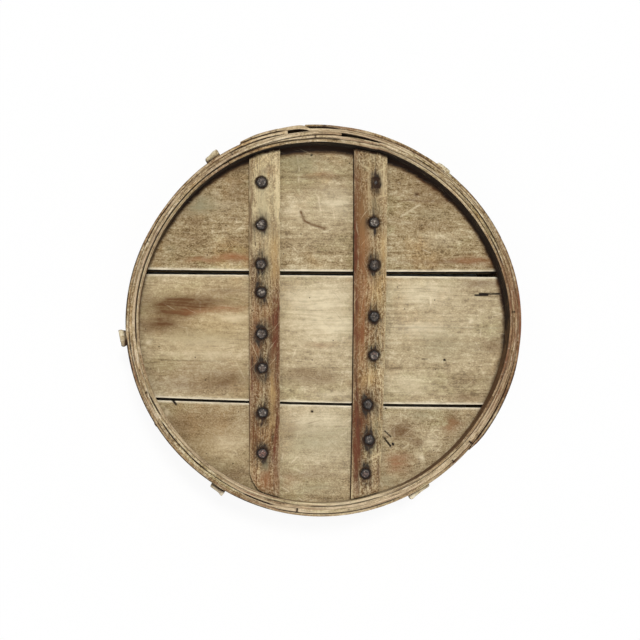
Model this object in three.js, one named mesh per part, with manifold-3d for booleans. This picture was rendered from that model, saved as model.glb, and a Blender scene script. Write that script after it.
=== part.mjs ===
// Bentwood dry measure, turned over onto its mouth so that its foot and bottom boards look up.
// Sizes are in millimetres and angles in degrees, counter-clockwise from +X seen from the foot.
// X points right, Y back and Z up. The origin is on the floor under the middle of the object's box.

import * as THREE from "three";
import { mergeVertices } from "three/addons/utils/BufferGeometryUtils.js";
import Module from "manifold-3d";

// The vessel, from the mouth up: the inside, the bottom boards and the recess inside the foot
const insideRadius = 236.9;
const insideDepth = 102;
const boardThickness = 18;
const footRecess = 28;

// Clearance between pieces that touch
const fit = 0.3;

// The bent plies lie on an outline that isn't quite round: each wave adds a number of lobes of
// one height, the first of them at an angle
const outlineWaves = [
  { lobes: 1, height: 1.2, at: -130 },
  { lobes: 2, height: 2.1, at: 13 },
  { lobes: 3, height: 0.85, at: 0 },
  { lobes: 4, height: 0.7, at: 5 },
];

// Bent plies, from the inside out. A drop is how far a ply's edge stays back from the rim.
const liner = { thickness: 4, drop: 0.8, jointAt: 122, jointGap: 0.8 };
const innerWall = { thickness: 3.8 };
const outerWall = { thickness: 3.8, jointAt: 320, jointGap: 1 };
const footHoop = { thickness: 4.2, width: 56, drop: 0.3 };
const mouthHoop = { thickness: 4.2, width: 42, drop: 0.5 };
const wrap = { thickness: 2.2, width: 54, drop: 0.6, from: -42, to: 96 };

// The wrap starts thin and its other end lifts off the hoop
const wrapStart = { thickness: 0.6, taper: 14 };
const wrapLift = { height: 1, length: 10 };

// A ply that laps over its own blunt start: its tail opens away from the ply below, clears the
// start, keeps its thickness for a stretch and thins out to its end
const wallLap = { at: 72.5, opening: 12.5, full: 12, thinning: 14, start: 3.8, tail: 3.2, end: 0.8 };
const hoopLap = { opening: 6.5, full: 9.5, thinning: 4.8, start: 3.4, tail: 3.9, end: 2.4 };
const footLap = { at: 95, ...hoopLap };
const mouthLap = { at: 280, ...hoopLap };

// Degrees over which the pieces inside the wall close up again past the end of its lap
const lapFade = 6;

// The gaps that opened between the three boards: the Y of each gap's middle line and its width,
// at the left wall, in the middle and at the right wall
const backGap = { middle: [60.2, 61, 62.6], width: [5, 4.1, 5.7] };
const frontGap = { middle: [-100.6, -107.7, -110.5], width: [2.2, 2.6, 3.6] };

// Battens: the X of the middle line and the width at the back, in the middle and at the front.
// A nail lies at a share of the way from the middle of the batten to its back end, or to its
// front end where it is negative, and across is how far it is to the right of the middle line.
const battenThickness = 14;
const battenEndInset = 21.9;
const battenEndGap = 1;
const battenChamfer = 1.2;
const cornerLength = 25;
const battens = [
  {
    side: "left",
    middle: [-76.9, -76.3, -75.3],
    width: [39.5, 38.9, 37.8],
    frontCorner: 10,
    nails: [
      { along: 0.819, across: -4.3, head: 7.6, dome: 5 },
      { along: 0.563, across: -4.7, head: 7.6, dome: 5 },
      { along: 0.325, across: -4.9, head: 7.2, dome: 4.4 },
      { along: 0.158, across: -4.6, head: 7, dome: 4 },
      { along: -0.088, across: -4.4, head: 7.5, dome: 3.4 },
      { along: -0.289, across: -3.4, head: 7, dome: 3 },
      { along: -0.553, across: -2.9, head: 7.2, dome: 3 },
      { along: -0.792, across: -3.6, head: 7, dome: 3 },
    ],
  },
  {
    side: "right",
    middle: [60.9, 59, 52.9],
    width: [43.1, 41.3, 36.5],
    frontCorner: 0,
    nails: [
      { along: 0.833, across: 6.4, head: 4.2, dome: 0.8 },
      { along: 0.588, across: 3.9, head: 7.5, dome: 4.6 },
      { along: 0.328, across: 4.6, head: 7.8, dome: 5 },
      { along: 0.02, across: 5.3, head: 7.5, dome: 3.6 },
      { along: -0.212, across: 6.1, head: 7.2, dome: 3.2 },
      { along: -0.504, across: -0.3, head: 7, dome: 3 },
      { along: -0.713, across: 2.6, head: 7, dome: 3 },
      { along: -0.912, across: -1.3, head: 6.8, dome: 2.8 },
    ],
  },
];

// Nails go through a batten and stop this far above the boards' inside face
const nailShank = 2.2;
const nailTip = 0.8;
const nailTaper = 12;
const nailStop = 3;
const nailSides = 8;

// Pegs go through hoop and wall into the boards' edges. Each stands out of the outermost ply, and
// its end slopes by so much more on the counter-clockwise side.
const pegHeight = 12;
const pegDepth = 36;
const pegCorner = 4;
const pegChamfer = 0.8;
const pegs = [
  { at: 51.8, width: 22, stands: 12.4, slope: 0 },
  { at: 124.1, width: 21, stands: 13.4, slope: -2.8 },
  { at: 185.3, width: 19, stands: 9.6, slope: -2 },
  { at: 238, width: 21, stands: 7.7, slope: 2.4 },
  { at: 299.8, width: 33, stands: 9.5, slope: -3 },
  { at: 356, width: 21, stands: 2.5, slope: 0 },
];

// Iron tacks hold the hoops to the wall, their laps, and the lap of the wall between the hoops
const tackHead = 3.4;
const tackDome = 1.3;
const tackShank = 1.1;
const tackTip = 0.4;
const tackSides = 6;
const tackStop = 1.2;
const lapTackPast = 13;
const lapTackEdge = 12;
const footTackAngles = [30, 75, 155, 212, 265, 325];
const mouthTackAngles = [20, 80, 140, 200, 260, 320];
const wallTackPast = 18.5;
const wallTackSpacing = 16;

// Finishes
const boardWood = finish("#b2a080", 0.85);
const battenWood = finish("#8f7654", 0.85);
const linerWood = finish("#9e8a63", 0.8);
const wallWood = finish("#a89877", 0.85);
const hoopWood = finish("#a38d69", 0.8);
const pegWood = finish("#b49c74", 0.85);
const iron = finish("#2f2a27", 0.65, 0.7);

// Levels and radii that follow from the sizes above
const boardLevel = insideDepth;
const recessLevel = boardLevel + boardThickness;
const footRim = recessLevel + footRecess;
const battenLevel = recessLevel + fit;
const battenTop = battenLevel + battenThickness;
const battenReach = insideRadius - battenEndInset;
const innerWallBack = insideRadius + innerWall.thickness;
const outerWallFront = innerWallBack + fit;
const outerWallBack = outerWallFront + outerWall.thickness;
const hoopFront = outerWallBack + fit;
const pastWall = insideRadius * 1.1;

function finish(color, roughness, metalness = 0) {
  return new THREE.MeshStandardMaterial({ color, roughness, metalness });
}

// Solids: closed geometries to manifold-3d and back

const wasm = await Module();
wasm.setup();

function solidOf(geometry) {
  const bare = geometry.clone();
  bare.deleteAttribute("normal");
  bare.deleteAttribute("uv");
  const merged = mergeVertices(bare);
  const corners = merged.index.array;
  const triangles = [];
  for (let first = 0; first < corners.length; first += 3) {
    const [a, b, c] = corners.slice(first, first + 3);
    if (a !== b && b !== c && c !== a) triangles.push(a, b, c);
  }
  return new wasm.Manifold(
    new wasm.Mesh({
      numProp: 3,
      vertProperties: merged.attributes.position.array,
      triVerts: Uint32Array.from(triangles),
    })
  );
}

function geometryOf(solid) {
  const { vertProperties, triVerts } = solid.getMesh();
  const geometry = new THREE.BufferGeometry();
  geometry.setAttribute("position", new THREE.BufferAttribute(vertProperties.slice(), 3));
  geometry.setIndex(new THREE.BufferAttribute(triVerts.slice(), 1));
  geometry.computeVertexNormals();
  return geometry;
}

// Cuts the cutters' meshes out of a mesh, wherever each of them stands
function carve(mesh, cutters) {
  mesh.updateWorldMatrix(true, false);
  const toMesh = mesh.matrixWorld.clone().invert();
  let body = solidOf(mesh.geometry);
  for (const cutter of cutters) {
    cutter.updateWorldMatrix(true, false);
    const place = toMesh.clone().multiply(cutter.matrixWorld);
    body = body.subtract(solidOf(cutter.geometry.clone().applyMatrix4(place)));
  }
  mesh.geometry = geometryOf(body);
}

function common(first, second) {
  return geometryOf(solidOf(first).intersect(solidOf(second)));
}

// The outline and the plies that follow it

const radians = THREE.MathUtils.degToRad;
const lerp = THREE.MathUtils.lerp;

function share(value, from, to) {
  return THREE.MathUtils.clamp((value - from) / (to - from), 0, 1);
}

function outlineOffset(angle) {
  return outlineWaves.reduce(
    (sum, wave) => sum + wave.height * Math.cos(radians(wave.lobes * (angle - wave.at))),
    0
  );
}

function outlinePoint(radius, angle) {
  const distance = radius + outlineOffset(angle);
  return new THREE.Vector2(distance, 0).rotateAround(new THREE.Vector2(), radians(angle));
}

function lapMarks(lap) {
  const start = lap.opening;
  const thins = start + lap.full;
  return { start, thins, end: thins + lap.thinning };
}

function startThickness(lap, thickness, past) {
  const { start, end } = lapMarks(lap);
  return lerp(lap.start, thickness, share(past, start, end));
}

// How far the tail's near face stands off the face that the ply lies on
function tailLift(lap, thickness, past) {
  const { start } = lapMarks(lap);
  if (past < start) return (lap.start + fit) * share(past, 0, start);
  return startThickness(lap, thickness, past) + fit;
}

function tailThickness(lap, thickness, past) {
  const { start, thins, end } = lapMarks(lap);
  const along = lerp(thickness, lap.tail, share(past, 0, start));
  return lerp(along, lap.end, share(past, thins, end));
}

// How far a lap pushes the ply's far face out, at any angle
function lapBulge(lap, thickness, angle, fade = 0) {
  const past = THREE.MathUtils.euclideanModulo(angle - lap.at, 360);
  const { end } = lapMarks(lap);
  const within = Math.min(past, end);
  const bulge = tailLift(lap, thickness, within) + tailThickness(lap, thickness, within) - thickness;
  if (past <= end) return bulge;
  return fade > 0 ? bulge * (1 - share(past, end, end + fade)) : 0;
}

// All plies bend at the same angles, so that their flats lie parallel
const bendStep = 4;
const leastStep = 1.2;
const keyAngles = [wallLap, footLap, mouthLap].flatMap((lap) => {
  const { start, thins, end } = lapMarks(lap);
  return [0, start, thins, end].map((past) => lap.at + past);
});
keyAngles.push(wallLap.at + lapMarks(wallLap).end + lapFade);
keyAngles.push(wrap.from, wrap.from + wrapStart.taper, wrap.to - wrapLift.length, wrap.to);
const bends = [...new Set(keyAngles.map((angle) => THREE.MathUtils.euclideanModulo(angle, 360)))];
for (let angle = 0; angle < 360; angle += bendStep) {
  if (bends.every((bend) => Math.abs(bend - angle) > leastStep)) bends.push(angle);
}
bends.sort((first, second) => first - second);

function bendsBetween(from, to) {
  const angles = [from];
  for (let turn = Math.floor(from / 360) * 360; turn < to; turn += 360) {
    for (const bend of bends) {
      if (bend + turn > from + 0.01 && bend + turn < to - 0.01) angles.push(bend + turn);
    }
  }
  angles.push(to);
  return angles;
}

// A bent ply: a rectangular section between two faces, whose radii may change along the ply
function bentPly(from, to, faces, width) {
  const positions = [];
  const triangles = [];
  const angles = bendsBetween(from, to);
  for (const angle of angles) {
    const { inner, outer } = faces(angle);
    const near = outlinePoint(inner, angle);
    const far = outlinePoint(outer, angle);
    positions.push(near.x, near.y, 0, far.x, far.y, 0, far.x, far.y, width, near.x, near.y, width);
  }
  const sides = [
    [0, 1],
    [1, 2],
    [2, 3],
    [3, 0],
  ];
  const last = (angles.length - 1) * sides.length;
  for (let before = 0; before < last; before += sides.length) {
    const here = before + sides.length;
    for (const [corner, next] of sides) {
      triangles.push(before + corner, here + corner, here + next);
      triangles.push(before + corner, here + next, before + next);
    }
  }
  triangles.push(0, 1, 2, 0, 2, 3);
  triangles.push(last, last + 2, last + 1, last, last + 3, last + 2);
  const geometry = new THREE.BufferGeometry();
  geometry.setAttribute("position", new THREE.Float32BufferAttribute(positions, 3));
  geometry.setIndex(triangles);
  return geometry;
}

// A ply that runs once round and laps over its own start, to the outside or the inside of its base
function lappedPly(lap, base, outward, thickness, width) {
  const side = outward ? 1 : -1;
  const { start, end } = lapMarks(lap);
  const faces = (angle) => {
    const tail = angle >= lap.at + 360;
    const past = angle - lap.at - (tail ? 360 : 0);
    const lift = tail ? tailLift(lap, thickness, past) : 0;
    const depth = tail ? tailThickness(lap, thickness, past) : startThickness(lap, thickness, past);
    const near = base + side * lift;
    const far = near + side * depth;
    return { inner: Math.min(near, far), outer: Math.max(near, far) };
  };
  return bentPly(lap.at + start, lap.at + 360 + end, faces, width);
}

// A ply whose two ends meet in a butt joint
function buttPly(joint, faces, width) {
  const halfGap = THREE.MathUtils.radToDeg(joint.jointGap / 2 / insideRadius);
  return bentPly(joint.jointAt + halfGap, joint.jointAt + 360 - halfGap, faces, width);
}

function wallInside(angle) {
  return insideRadius - lapBulge(wallLap, innerWall.thickness, angle, lapFade);
}

function linerInside(angle) {
  return wallInside(angle) - fit - liner.thickness;
}

function hoopOutside(lap, hoop, angle) {
  return hoopFront + hoop.thickness + lapBulge(lap, hoop.thickness, angle);
}

function wrapFaces(angle) {
  const lift = wrapLift.height * share(angle, wrap.to - wrapLift.length, wrap.to);
  const taper = share(angle, wrap.from, wrap.from + wrapStart.taper);
  const inner = hoopFront + footHoop.thickness + fit + lift;
  return { inner, outer: inner + lerp(wrapStart.thickness, wrap.thickness, taper) };
}

// The outermost face of the foot, which pegs stand out of and tacks sit on
function footOutside(angle) {
  const within = THREE.MathUtils.euclideanModulo(angle - wrap.from, 360) + wrap.from;
  return within <= wrap.to ? wrapFaces(within).outer : hoopOutside(footLap, footHoop, angle);
}

// Assembly

const measure = new THREE.Group();

function piece(name, geometry, material, level, parent = measure) {
  const mesh = new THREE.Mesh(geometry, material);
  mesh.name = name;
  mesh.position.z = level;
  parent.add(mesh);
  return mesh;
}

// The wall: the inner ply laps over itself towards the inside, the outer ply has a butt joint
const innerWallPiece = piece(
  "inner_wall",
  lappedPly(wallLap, innerWallBack, false, innerWall.thickness, footRim),
  wallWood,
  0
);
const outerWallPiece = piece(
  "outer_wall",
  buttPly(outerWall, () => ({ inner: outerWallFront, outer: outerWallBack }), footRim),
  wallWood,
  0
);

// The hoops round the foot and the mouth, and the wrap over part of the foot hoop
const footHoopPiece = piece(
  "foot_hoop",
  lappedPly(footLap, hoopFront, true, footHoop.thickness, footHoop.width),
  hoopWood,
  footRim - footHoop.drop - footHoop.width
);
const mouthHoopPiece = piece(
  "mouth_hoop",
  lappedPly(mouthLap, hoopFront, true, mouthHoop.thickness, mouthHoop.width),
  hoopWood,
  mouthHoop.drop
);
const wrapPiece = piece(
  "foot_wrap",
  bentPly(wrap.from, wrap.to, wrapFaces, wrap.width),
  hoopWood,
  footRim - wrap.drop - wrap.width
);

// The liner stands on the boards inside the wall
piece(
  "foot_liner",
  buttPly(
    liner,
    (angle) => ({ inner: linerInside(angle), outer: wallInside(angle) - fit }),
    footRecess - fit - liner.drop
  ),
  linerWood,
  recessLevel + fit
);

// Value at a place from -1 to 1 along a line bowed through three values
function bowed([first, middle, last], place) {
  return middle + ((last - first) / 2) * place + ((first + last) / 2 - middle) * place ** 2;
}

// A plate inside the outline, cut to the strip between two edges that run along an axis
const edgeSteps = 24;
function stripPlate(radiusAt, firstEdge, secondEdge, alongX, thickness, chamfer = 0) {
  const outline = bendsBetween(0, 360)
    .slice(0, -1)
    .map((angle) => outlinePoint(radiusAt(angle), angle));
  const stations = Array.from({ length: edgeSteps + 1 }, (_, step) =>
    lerp(-pastWall, pastWall, step / edgeSteps)
  );
  const edges = [
    ...stations.map((along) => [along, firstEdge(along)]),
    ...stations.reverse().map((along) => [along, secondEdge(along)]),
  ];
  const strip = edges.map(([along, across]) =>
    alongX ? new THREE.Vector2(along, across) : new THREE.Vector2(across, along)
  );
  const disc = new THREE.ExtrudeGeometry(new THREE.Shape(outline), {
    depth: thickness,
    bevelEnabled: false,
  });
  const bar = new THREE.ExtrudeGeometry(new THREE.Shape(strip), {
    depth: thickness - 2 * chamfer,
    bevelEnabled: chamfer > 0,
    bevelThickness: chamfer,
    bevelSize: chamfer,
    bevelOffset: -chamfer,
    bevelSegments: 1,
  });
  return common(disc, bar.translate(0, 0, chamfer));
}

// The bottom boards, in the wall and apart by the two gaps
function gapEdge(gap, side) {
  return (x) => {
    const place = x / insideRadius;
    return bowed(gap.middle, place) + (side * bowed(gap.width, place)) / 2;
  };
}

const boardRadius = (angle) => wallInside(angle) - fit;
const boardPieces = [
  ["bottom_board_back", gapEdge(backGap, 1), () => pastWall],
  ["bottom_board_middle", gapEdge(frontGap, 1), gapEdge(backGap, -1)],
  ["bottom_board_front", () => -pastWall, gapEdge(frontGap, -1)],
].map(([name, front, back]) =>
  piece(name, stripPlate(boardRadius, front, back, true, boardThickness), boardWood, boardLevel)
);

// The battens lie across the boards, with their nails
function battenMiddle(batten, y) {
  return bowed(batten.middle, -y / battenReach);
}

// The left edge of a batten may round off towards its front end
function battenEdge(batten, side) {
  const cornerAt = cornerLength - battenReach;
  return (y) => {
    const half = bowed(batten.width, -y / battenReach) / 2;
    const rounding = batten.frontCorner * Math.max(0, (cornerAt - y) / cornerLength) ** 2;
    const corner = side < 0 ? Math.min(rounding, half) : 0;
    return battenMiddle(batten, y) + side * half + corner;
  };
}

function turnedSolid(profile, sides) {
  const points = profile.map(([across, along]) => new THREE.Vector2(across, along));
  return new THREE.LatheGeometry(points, sides).rotateX(Math.PI / 2);
}

const nailLength = battenTop + fit - boardLevel - nailStop;
const nailHole = turnedSolid(
  [
    [0, -nailLength - fit],
    [nailShank + fit, -nailLength - fit],
    [nailShank + fit, battenThickness],
    [0, battenThickness],
  ],
  nailSides
);
const nailHoles = [];

for (const batten of battens) {
  const radiusAt = (angle) => linerInside(angle) - battenEndGap;
  const mesh = piece(
    `batten_${batten.side}`,
    stripPlate(
      radiusAt,
      battenEdge(batten, -1),
      battenEdge(batten, 1),
      false,
      battenThickness,
      battenChamfer
    ),
    battenWood,
    battenLevel
  );
  const holes = [];
  batten.nails.forEach(({ along, across, head, dome }, index) => {
    const y = along * battenReach;
    const profile = [
      [0, -nailLength],
      [nailTip, -nailLength],
      [nailShank, -nailLength + nailTaper],
      [nailShank, 0],
      [head, 0],
      [head * 0.84, dome * 0.55],
      [head * 0.5, dome * 0.9],
      [0, dome],
    ];
    const name = `batten_nail_${batten.side}_${index + 1}`;
    const nail = piece(name, turnedSolid(profile, nailSides), iron, battenTop + fit);
    nail.position.x = battenMiddle(batten, y) + across;
    nail.position.y = y;
    const hole = new THREE.Mesh(nailHole);
    hole.position.copy(nail.position);
    holes.push(hole);
  });
  carve(mesh, holes);
  nailHoles.push(...holes);
}

// The pegs, each in a holder turned to its angle at the middle of the boards' edge
const pegHoles = [];

function pegOutline(peg) {
  const inner = insideRadius - pegDepth + outlineOffset(peg.at);
  const end = footOutside(peg.at) + outlineOffset(peg.at) + peg.stands;
  const half = peg.width / 2;
  const clockwiseEnd = end - peg.slope / 2;
  const otherEnd = end + peg.slope / 2;
  const shape = new THREE.Shape();
  shape.moveTo(inner, -half);
  shape.lineTo(clockwiseEnd - pegCorner, -half);
  shape.quadraticCurveTo(clockwiseEnd, -half, clockwiseEnd, pegCorner - half);
  shape.lineTo(otherEnd, half - pegCorner);
  shape.quadraticCurveTo(otherEnd, half, otherEnd - pegCorner, half);
  shape.lineTo(inner, half);
  shape.closePath();
  return shape;
}

pegs.forEach((peg, index) => {
  const holder = new THREE.Group();
  holder.rotation.z = radians(peg.at);
  holder.position.z = boardLevel + boardThickness / 2;
  measure.add(holder);
  const geometry = new THREE.ExtrudeGeometry(pegOutline(peg), {
    depth: pegHeight - 2 * pegChamfer,
    bevelThickness: pegChamfer,
    bevelSize: pegChamfer,
    bevelOffset: -pegChamfer,
    bevelSegments: 1,
    curveSegments: 3,
  });
  piece(`peg_${index + 1}`, geometry, pegWood, pegChamfer - pegHeight / 2, holder);
  const length = pegDepth + fit + hoopFront - insideRadius + 4 * footHoop.thickness;
  const hole = new THREE.Mesh(
    new THREE.BoxGeometry(length, peg.width + 2 * fit, pegHeight + 2 * fit)
  );
  hole.position.x = insideRadius - pegDepth - fit + outlineOffset(peg.at) + length / 2;
  hole.position.z = 0;
  const hold = new THREE.Group();
  hold.rotation.copy(holder.rotation);
  hold.position.copy(holder.position);
  hold.add(hole);
  pegHoles.push(hole);
});

for (const board of boardPieces) {
  carve(board, [...nailHoles, ...pegHoles]);
}

// The tacks, each with its head on the outermost ply and its point in the inner wall
const tackHoles = [];

function tack(name, angle, level, face) {
  const holder = new THREE.Group();
  holder.rotation.z = radians(angle);
  holder.position.z = level;
  measure.add(holder);
  const length = face + fit - insideRadius - tackStop;
  const profile = [
    [0, -length],
    [tackTip, -length],
    [tackShank, -length * 0.6],
    [tackShank, 0],
    [tackHead, 0],
    [tackHead * 0.7, tackDome * 0.8],
    [0, tackDome],
  ];
  const mesh = piece(name, turnedSolid(profile, tackSides), iron, 0, holder);
  mesh.rotation.y = Math.PI / 2;
  mesh.position.x = face + fit + outlineOffset(angle);
  const holeProfile = [
    [0, -length - fit],
    [tackShank + fit, -length - fit],
    [tackShank + fit, tackDome],
    [0, tackDome],
  ];
  const hole = new THREE.Mesh(turnedSolid(holeProfile, tackSides));
  hole.position.copy(mesh.position);
  hole.rotation.copy(mesh.rotation);
  const hold = new THREE.Group();
  hold.rotation.copy(holder.rotation);
  hold.position.copy(holder.position);
  hold.add(hole);
  tackHoles.push(hole);
}

const footHoopMiddle = footRim - footHoop.drop - footHoop.width / 2;
footTackAngles.forEach((angle, index) => {
  tack(`foot_tack_${index + 1}`, angle, footHoopMiddle, footOutside(angle));
});
[-1, 0, 1].forEach((place, index) => {
  const angle = footLap.at + lapTackPast;
  const level = footHoopMiddle + place * (footHoop.width / 2 - lapTackEdge);
  tack(`foot_lap_tack_${index + 1}`, angle, level, footOutside(angle));
});

const mouthHoopMiddle = mouthHoop.drop + mouthHoop.width / 2;
mouthTackAngles.forEach((angle, index) => {
  const face = hoopOutside(mouthLap, mouthHoop, angle);
  tack(`mouth_tack_${index + 1}`, angle, mouthHoopMiddle, face);
});
[-1, 1].forEach((place, index) => {
  const angle = mouthLap.at + lapTackPast;
  const level = mouthHoopMiddle + place * (mouthHoop.width / 2 - lapTackEdge);
  const face = hoopOutside(mouthLap, mouthHoop, angle);
  tack(`mouth_lap_tack_${index + 1}`, angle, level, face);
});

const wallBareMiddle = (mouthHoop.drop + mouthHoop.width + footRim - footHoop.drop - footHoop.width) / 2;
[-1, 0, 1].forEach((place, index) => {
  const level = wallBareMiddle + place * wallTackSpacing;
  tack(`wall_tack_${index + 1}`, wallLap.at + wallTackPast, level, outerWallBack);
});

for (const ply of [innerWallPiece, outerWallPiece, footHoopPiece, mouthHoopPiece, wrapPiece]) {
  carve(ply, [...pegHoles, ...tackHoles]);
}

// The origin goes under the middle of the whole object
measure.updateMatrixWorld(true);
const middle = new THREE.Box3().setFromObject(measure, true).getCenter(new THREE.Vector3());
measure.position.set(-middle.x, -middle.y, 0);

export default measure;
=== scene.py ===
import math

import bpy
import numpy as np
from mathutils import Matrix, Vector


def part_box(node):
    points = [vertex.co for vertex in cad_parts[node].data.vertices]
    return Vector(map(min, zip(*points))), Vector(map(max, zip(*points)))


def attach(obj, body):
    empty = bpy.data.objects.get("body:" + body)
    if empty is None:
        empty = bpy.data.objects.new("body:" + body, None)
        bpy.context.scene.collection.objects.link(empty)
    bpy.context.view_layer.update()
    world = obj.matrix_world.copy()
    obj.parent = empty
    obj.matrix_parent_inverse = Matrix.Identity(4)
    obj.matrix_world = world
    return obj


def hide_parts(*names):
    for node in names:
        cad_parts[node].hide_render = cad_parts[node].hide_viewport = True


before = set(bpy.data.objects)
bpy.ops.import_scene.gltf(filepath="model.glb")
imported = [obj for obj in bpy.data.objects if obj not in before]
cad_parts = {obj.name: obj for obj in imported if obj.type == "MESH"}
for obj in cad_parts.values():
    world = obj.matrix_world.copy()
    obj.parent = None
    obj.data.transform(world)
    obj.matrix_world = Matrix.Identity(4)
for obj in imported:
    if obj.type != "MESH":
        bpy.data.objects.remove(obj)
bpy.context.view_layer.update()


# The wall
# Two long strips of split and shaved wood, steamed and bent into rings, one inside the other.
# The inner strip laps over itself towards the inside and thins out to its end, and the outer
# one meets in a butt joint. Sizes are in millimetres about the axis, angles in degrees.

# Lobes that take the rings out of round: how many, how high, and at which angle the first lies
lobes = [(1, 1.2, -130), (2, 2.1, 13), (3, 0.85, 0), (4, 0.7, 5)]

inside_radius = 236.9
ply_gap = 0.3
wall_thickness = 3.8
outer_wall_joint = 320
outer_wall_joint_half = 0.12

# A lap: the angle where the ply starts, the degrees over which its tail rises and lies open, then
# stays full and thins out, and how thick the start, the tail over it and the tail's end are
wall_lap = {
    "at": 72.5, "opening": 12.5, "rise": 12.5, "full": 12, "thinning": 14,
    "start": 3.8, "tail": 3.2, "end": 0.8,
}
wall_lap_fade = 20


def out_of_round(angle):
    return sum(height * np.cos(np.radians(count * (angle - at))) for count, height, at in lobes)


def along(marks, angle):
    """Value at an angle between marks that go round the measure."""
    angles, values = zip(*marks)
    return np.interp(angle, angles, values, period=360)


# The plies are pressed together at the right: angle, and how far that sets the innermost face back
pressed = [
    (0, 4.6), (15, 3.3), (30, 2.2), (45, 1.9), (60, 1.6), (75, 0.4), (90, 1.0), (105, 0.4), (120, 0.8),
    (135, 0.4), (150, 0), (285, 0), (300, 2.4), (315, 2.8), (330, 2.4), (345, 3.6),
]
hoop_back = 249.3
liner_front = 232.6

# No ply is equally thick all round. For the seam at each radius: how far the wood beyond it follows,
# and by how much the seam strays at each angle.
wood_before_seam = 4.15
stray_seams = [
    (236.8, 4.2, [
        (68, 0), (74, 1.6), (85, 2.1), (92, 1.4), (98, 0), (200, 0), (204, 2), (209, 1.3), (213, 0),
    ]),
    (240.9, 4.1, [
        (18, 0), (24, 0.7), (33, 1.3), (50, 1.1), (68, 1.0), (85, 1.7), (97, 1.9), (103, 1), (109, 0),
        (218, 0), (223, -0.5), (227, 0), (240, 0.2), (246, 1.1), (253, 2), (261, 0),
    ]),
    (245, 4.4, [
        (86, 0), (93, -1.4), (104, -1.4), (108, -0.6), (119, 0.2), (250, 0), (257, 1.2), (290, 0.7),
        (300, 0),
    ]),
    (249.4, 2.4, [
        (-42, 0), (-36, -1.9), (88, -1.8), (96, -1), (104, 0), (130, 0), (145, -1.2), (165, -0.3),
        (180, 0),
    ]),
]


def placed(radius, angle):
    """The distance from the axis at which a face with this radius really lies."""
    pushed = np.clip((hoop_back - radius) / (hoop_back - liner_front), 0, 1.3)
    step = along(pressed, angle) * pushed
    for seam, beyond, marks in stray_seams:
        follows = np.where(radius > seam, beyond, wood_before_seam)
        near = np.clip(1 - np.abs(radius - seam) / follows, 0, 1)
        step = step + near * along(marks, angle)
    return radius + step + out_of_round(angle)


def axis_of(node, radius):
    """The rings' axis, from the box of a ring whose outer face follows the outline at a radius."""
    angle = np.arange(0, 360, 0.5)
    reach = radius + out_of_round(angle)
    x = reach * np.cos(np.radians(angle))
    y = reach * np.sin(np.radians(angle))
    low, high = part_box(node)
    middle = 500 * (low + high)
    return np.array([middle.x - (x.min() + x.max()) / 2, middle.y - (y.min() + y.max()) / 2, 0])


axis = axis_of("inner_wall", inside_radius + wall_thickness)
rim_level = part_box("inner_wall")[1].z * 1000


def share(value, start, end):
    return np.clip((value - start) / (end - start), 0, 1)


def mix(first, second, part):
    return first + (second - first) * part


def spot(away, reach):
    """A soft spot: 1 in its middle, fading out over its reach."""
    return np.exp(-((away / reach) ** 2))


def ripple(run, rise, seed):
    """Smooth random heights from -1 to 1, one step apart both ways."""
    size = 97
    table = np.random.RandomState(seed).uniform(-1, 1, (size, size))
    row, column = np.floor(run).astype(int), np.floor(rise).astype(int)
    down, right = run - row, rise - column
    down = down * down * (3 - 2 * down)
    right = right * right * (3 - 2 * right)

    def between_rows(column):
        return mix(table[row % size, column % size], table[(row + 1) % size, column % size], down)

    return mix(between_rows(column), between_rows(column + 1), right)


def skin(name, rings, grain, masks, sharp=42):
    """A closed mesh over rings of points, whose first and last ring are closed straight across.

    Rings and grain each give x, y and z, one row for each ring.
    """
    rings = np.stack(np.broadcast_arrays(*rings), -1)
    grain = np.stack(np.broadcast_arrays(*grain), -1)
    count, size = rings.shape[:2]
    ring, point = np.meshgrid(np.arange(count - 1) * size, np.arange(size), indexing="ij")
    after = (point + 1) % size
    sides = np.stack([ring + point, ring + after, ring + size + after, ring + size + point], -1)
    step = np.arange(size // 2 - 1)
    rungs = np.stack([step, size - 1 - step, size - 2 - step, step + 1], -1)
    faces = np.concatenate([sides.reshape(-1, 4), rungs, rungs[:, ::-1] + (count - 1) * size])
    points = rings.reshape(-1, 3)
    first, second, third = (points[faces[:, corner]] for corner in (0, 1, 2))
    if np.einsum("ij,ij->", first, np.cross(second, third)) < 0:
        faces = faces[:, ::-1]
    mesh = bpy.data.meshes.new(name)
    mesh.from_pydata(((points + axis) / 1000).tolist(), [], faces.tolist(), shade_flat=False)
    mesh.set_sharp_from_angle(angle=math.radians(sharp))
    spread = np.broadcast_to(grain, rings.shape) / 1000
    mesh.attributes.new("grain", "FLOAT_VECTOR", "POINT").data.foreach_set("vector", spread.ravel())
    for mask, values in masks.items():
        values = np.clip(np.broadcast_to(values, rings.shape[:2]), 0, 1).astype(float)
        mesh.attributes.new(mask, "FLOAT", "POINT").data.foreach_set("value", values.ravel())
    piece = bpy.data.objects.new(name, mesh)
    bpy.context.scene.collection.objects.link(piece)
    return piece


def dress(piece, node, finish):
    piece.data.materials.append(finish)
    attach(piece, "root")
    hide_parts(node)


def lap_marks(lap):
    start = lap["opening"]
    thins = start + lap["full"]
    return start, thins, thins + lap["thinning"]


def start_thickness(lap, thickness, past):
    start, _, end = lap_marks(lap)
    return mix(lap["start"], thickness, share(past, start, end))


def tail_lift(lap, thickness, past):
    """How far the tail of a lap stands off the face that its ply lies on."""
    start = lap["opening"]
    opening = (lap["start"] + ply_gap) * np.sqrt(share(past, 0, lap["rise"]))
    return np.where(past < start, opening, start_thickness(lap, thickness, past) + ply_gap)


def tail_thickness(lap, thickness, past):
    start, thins, end = lap_marks(lap)
    over_start = mix(thickness, lap["tail"], share(past, 0, start))
    return mix(over_start, lap["end"], share(past, thins, end))


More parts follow.
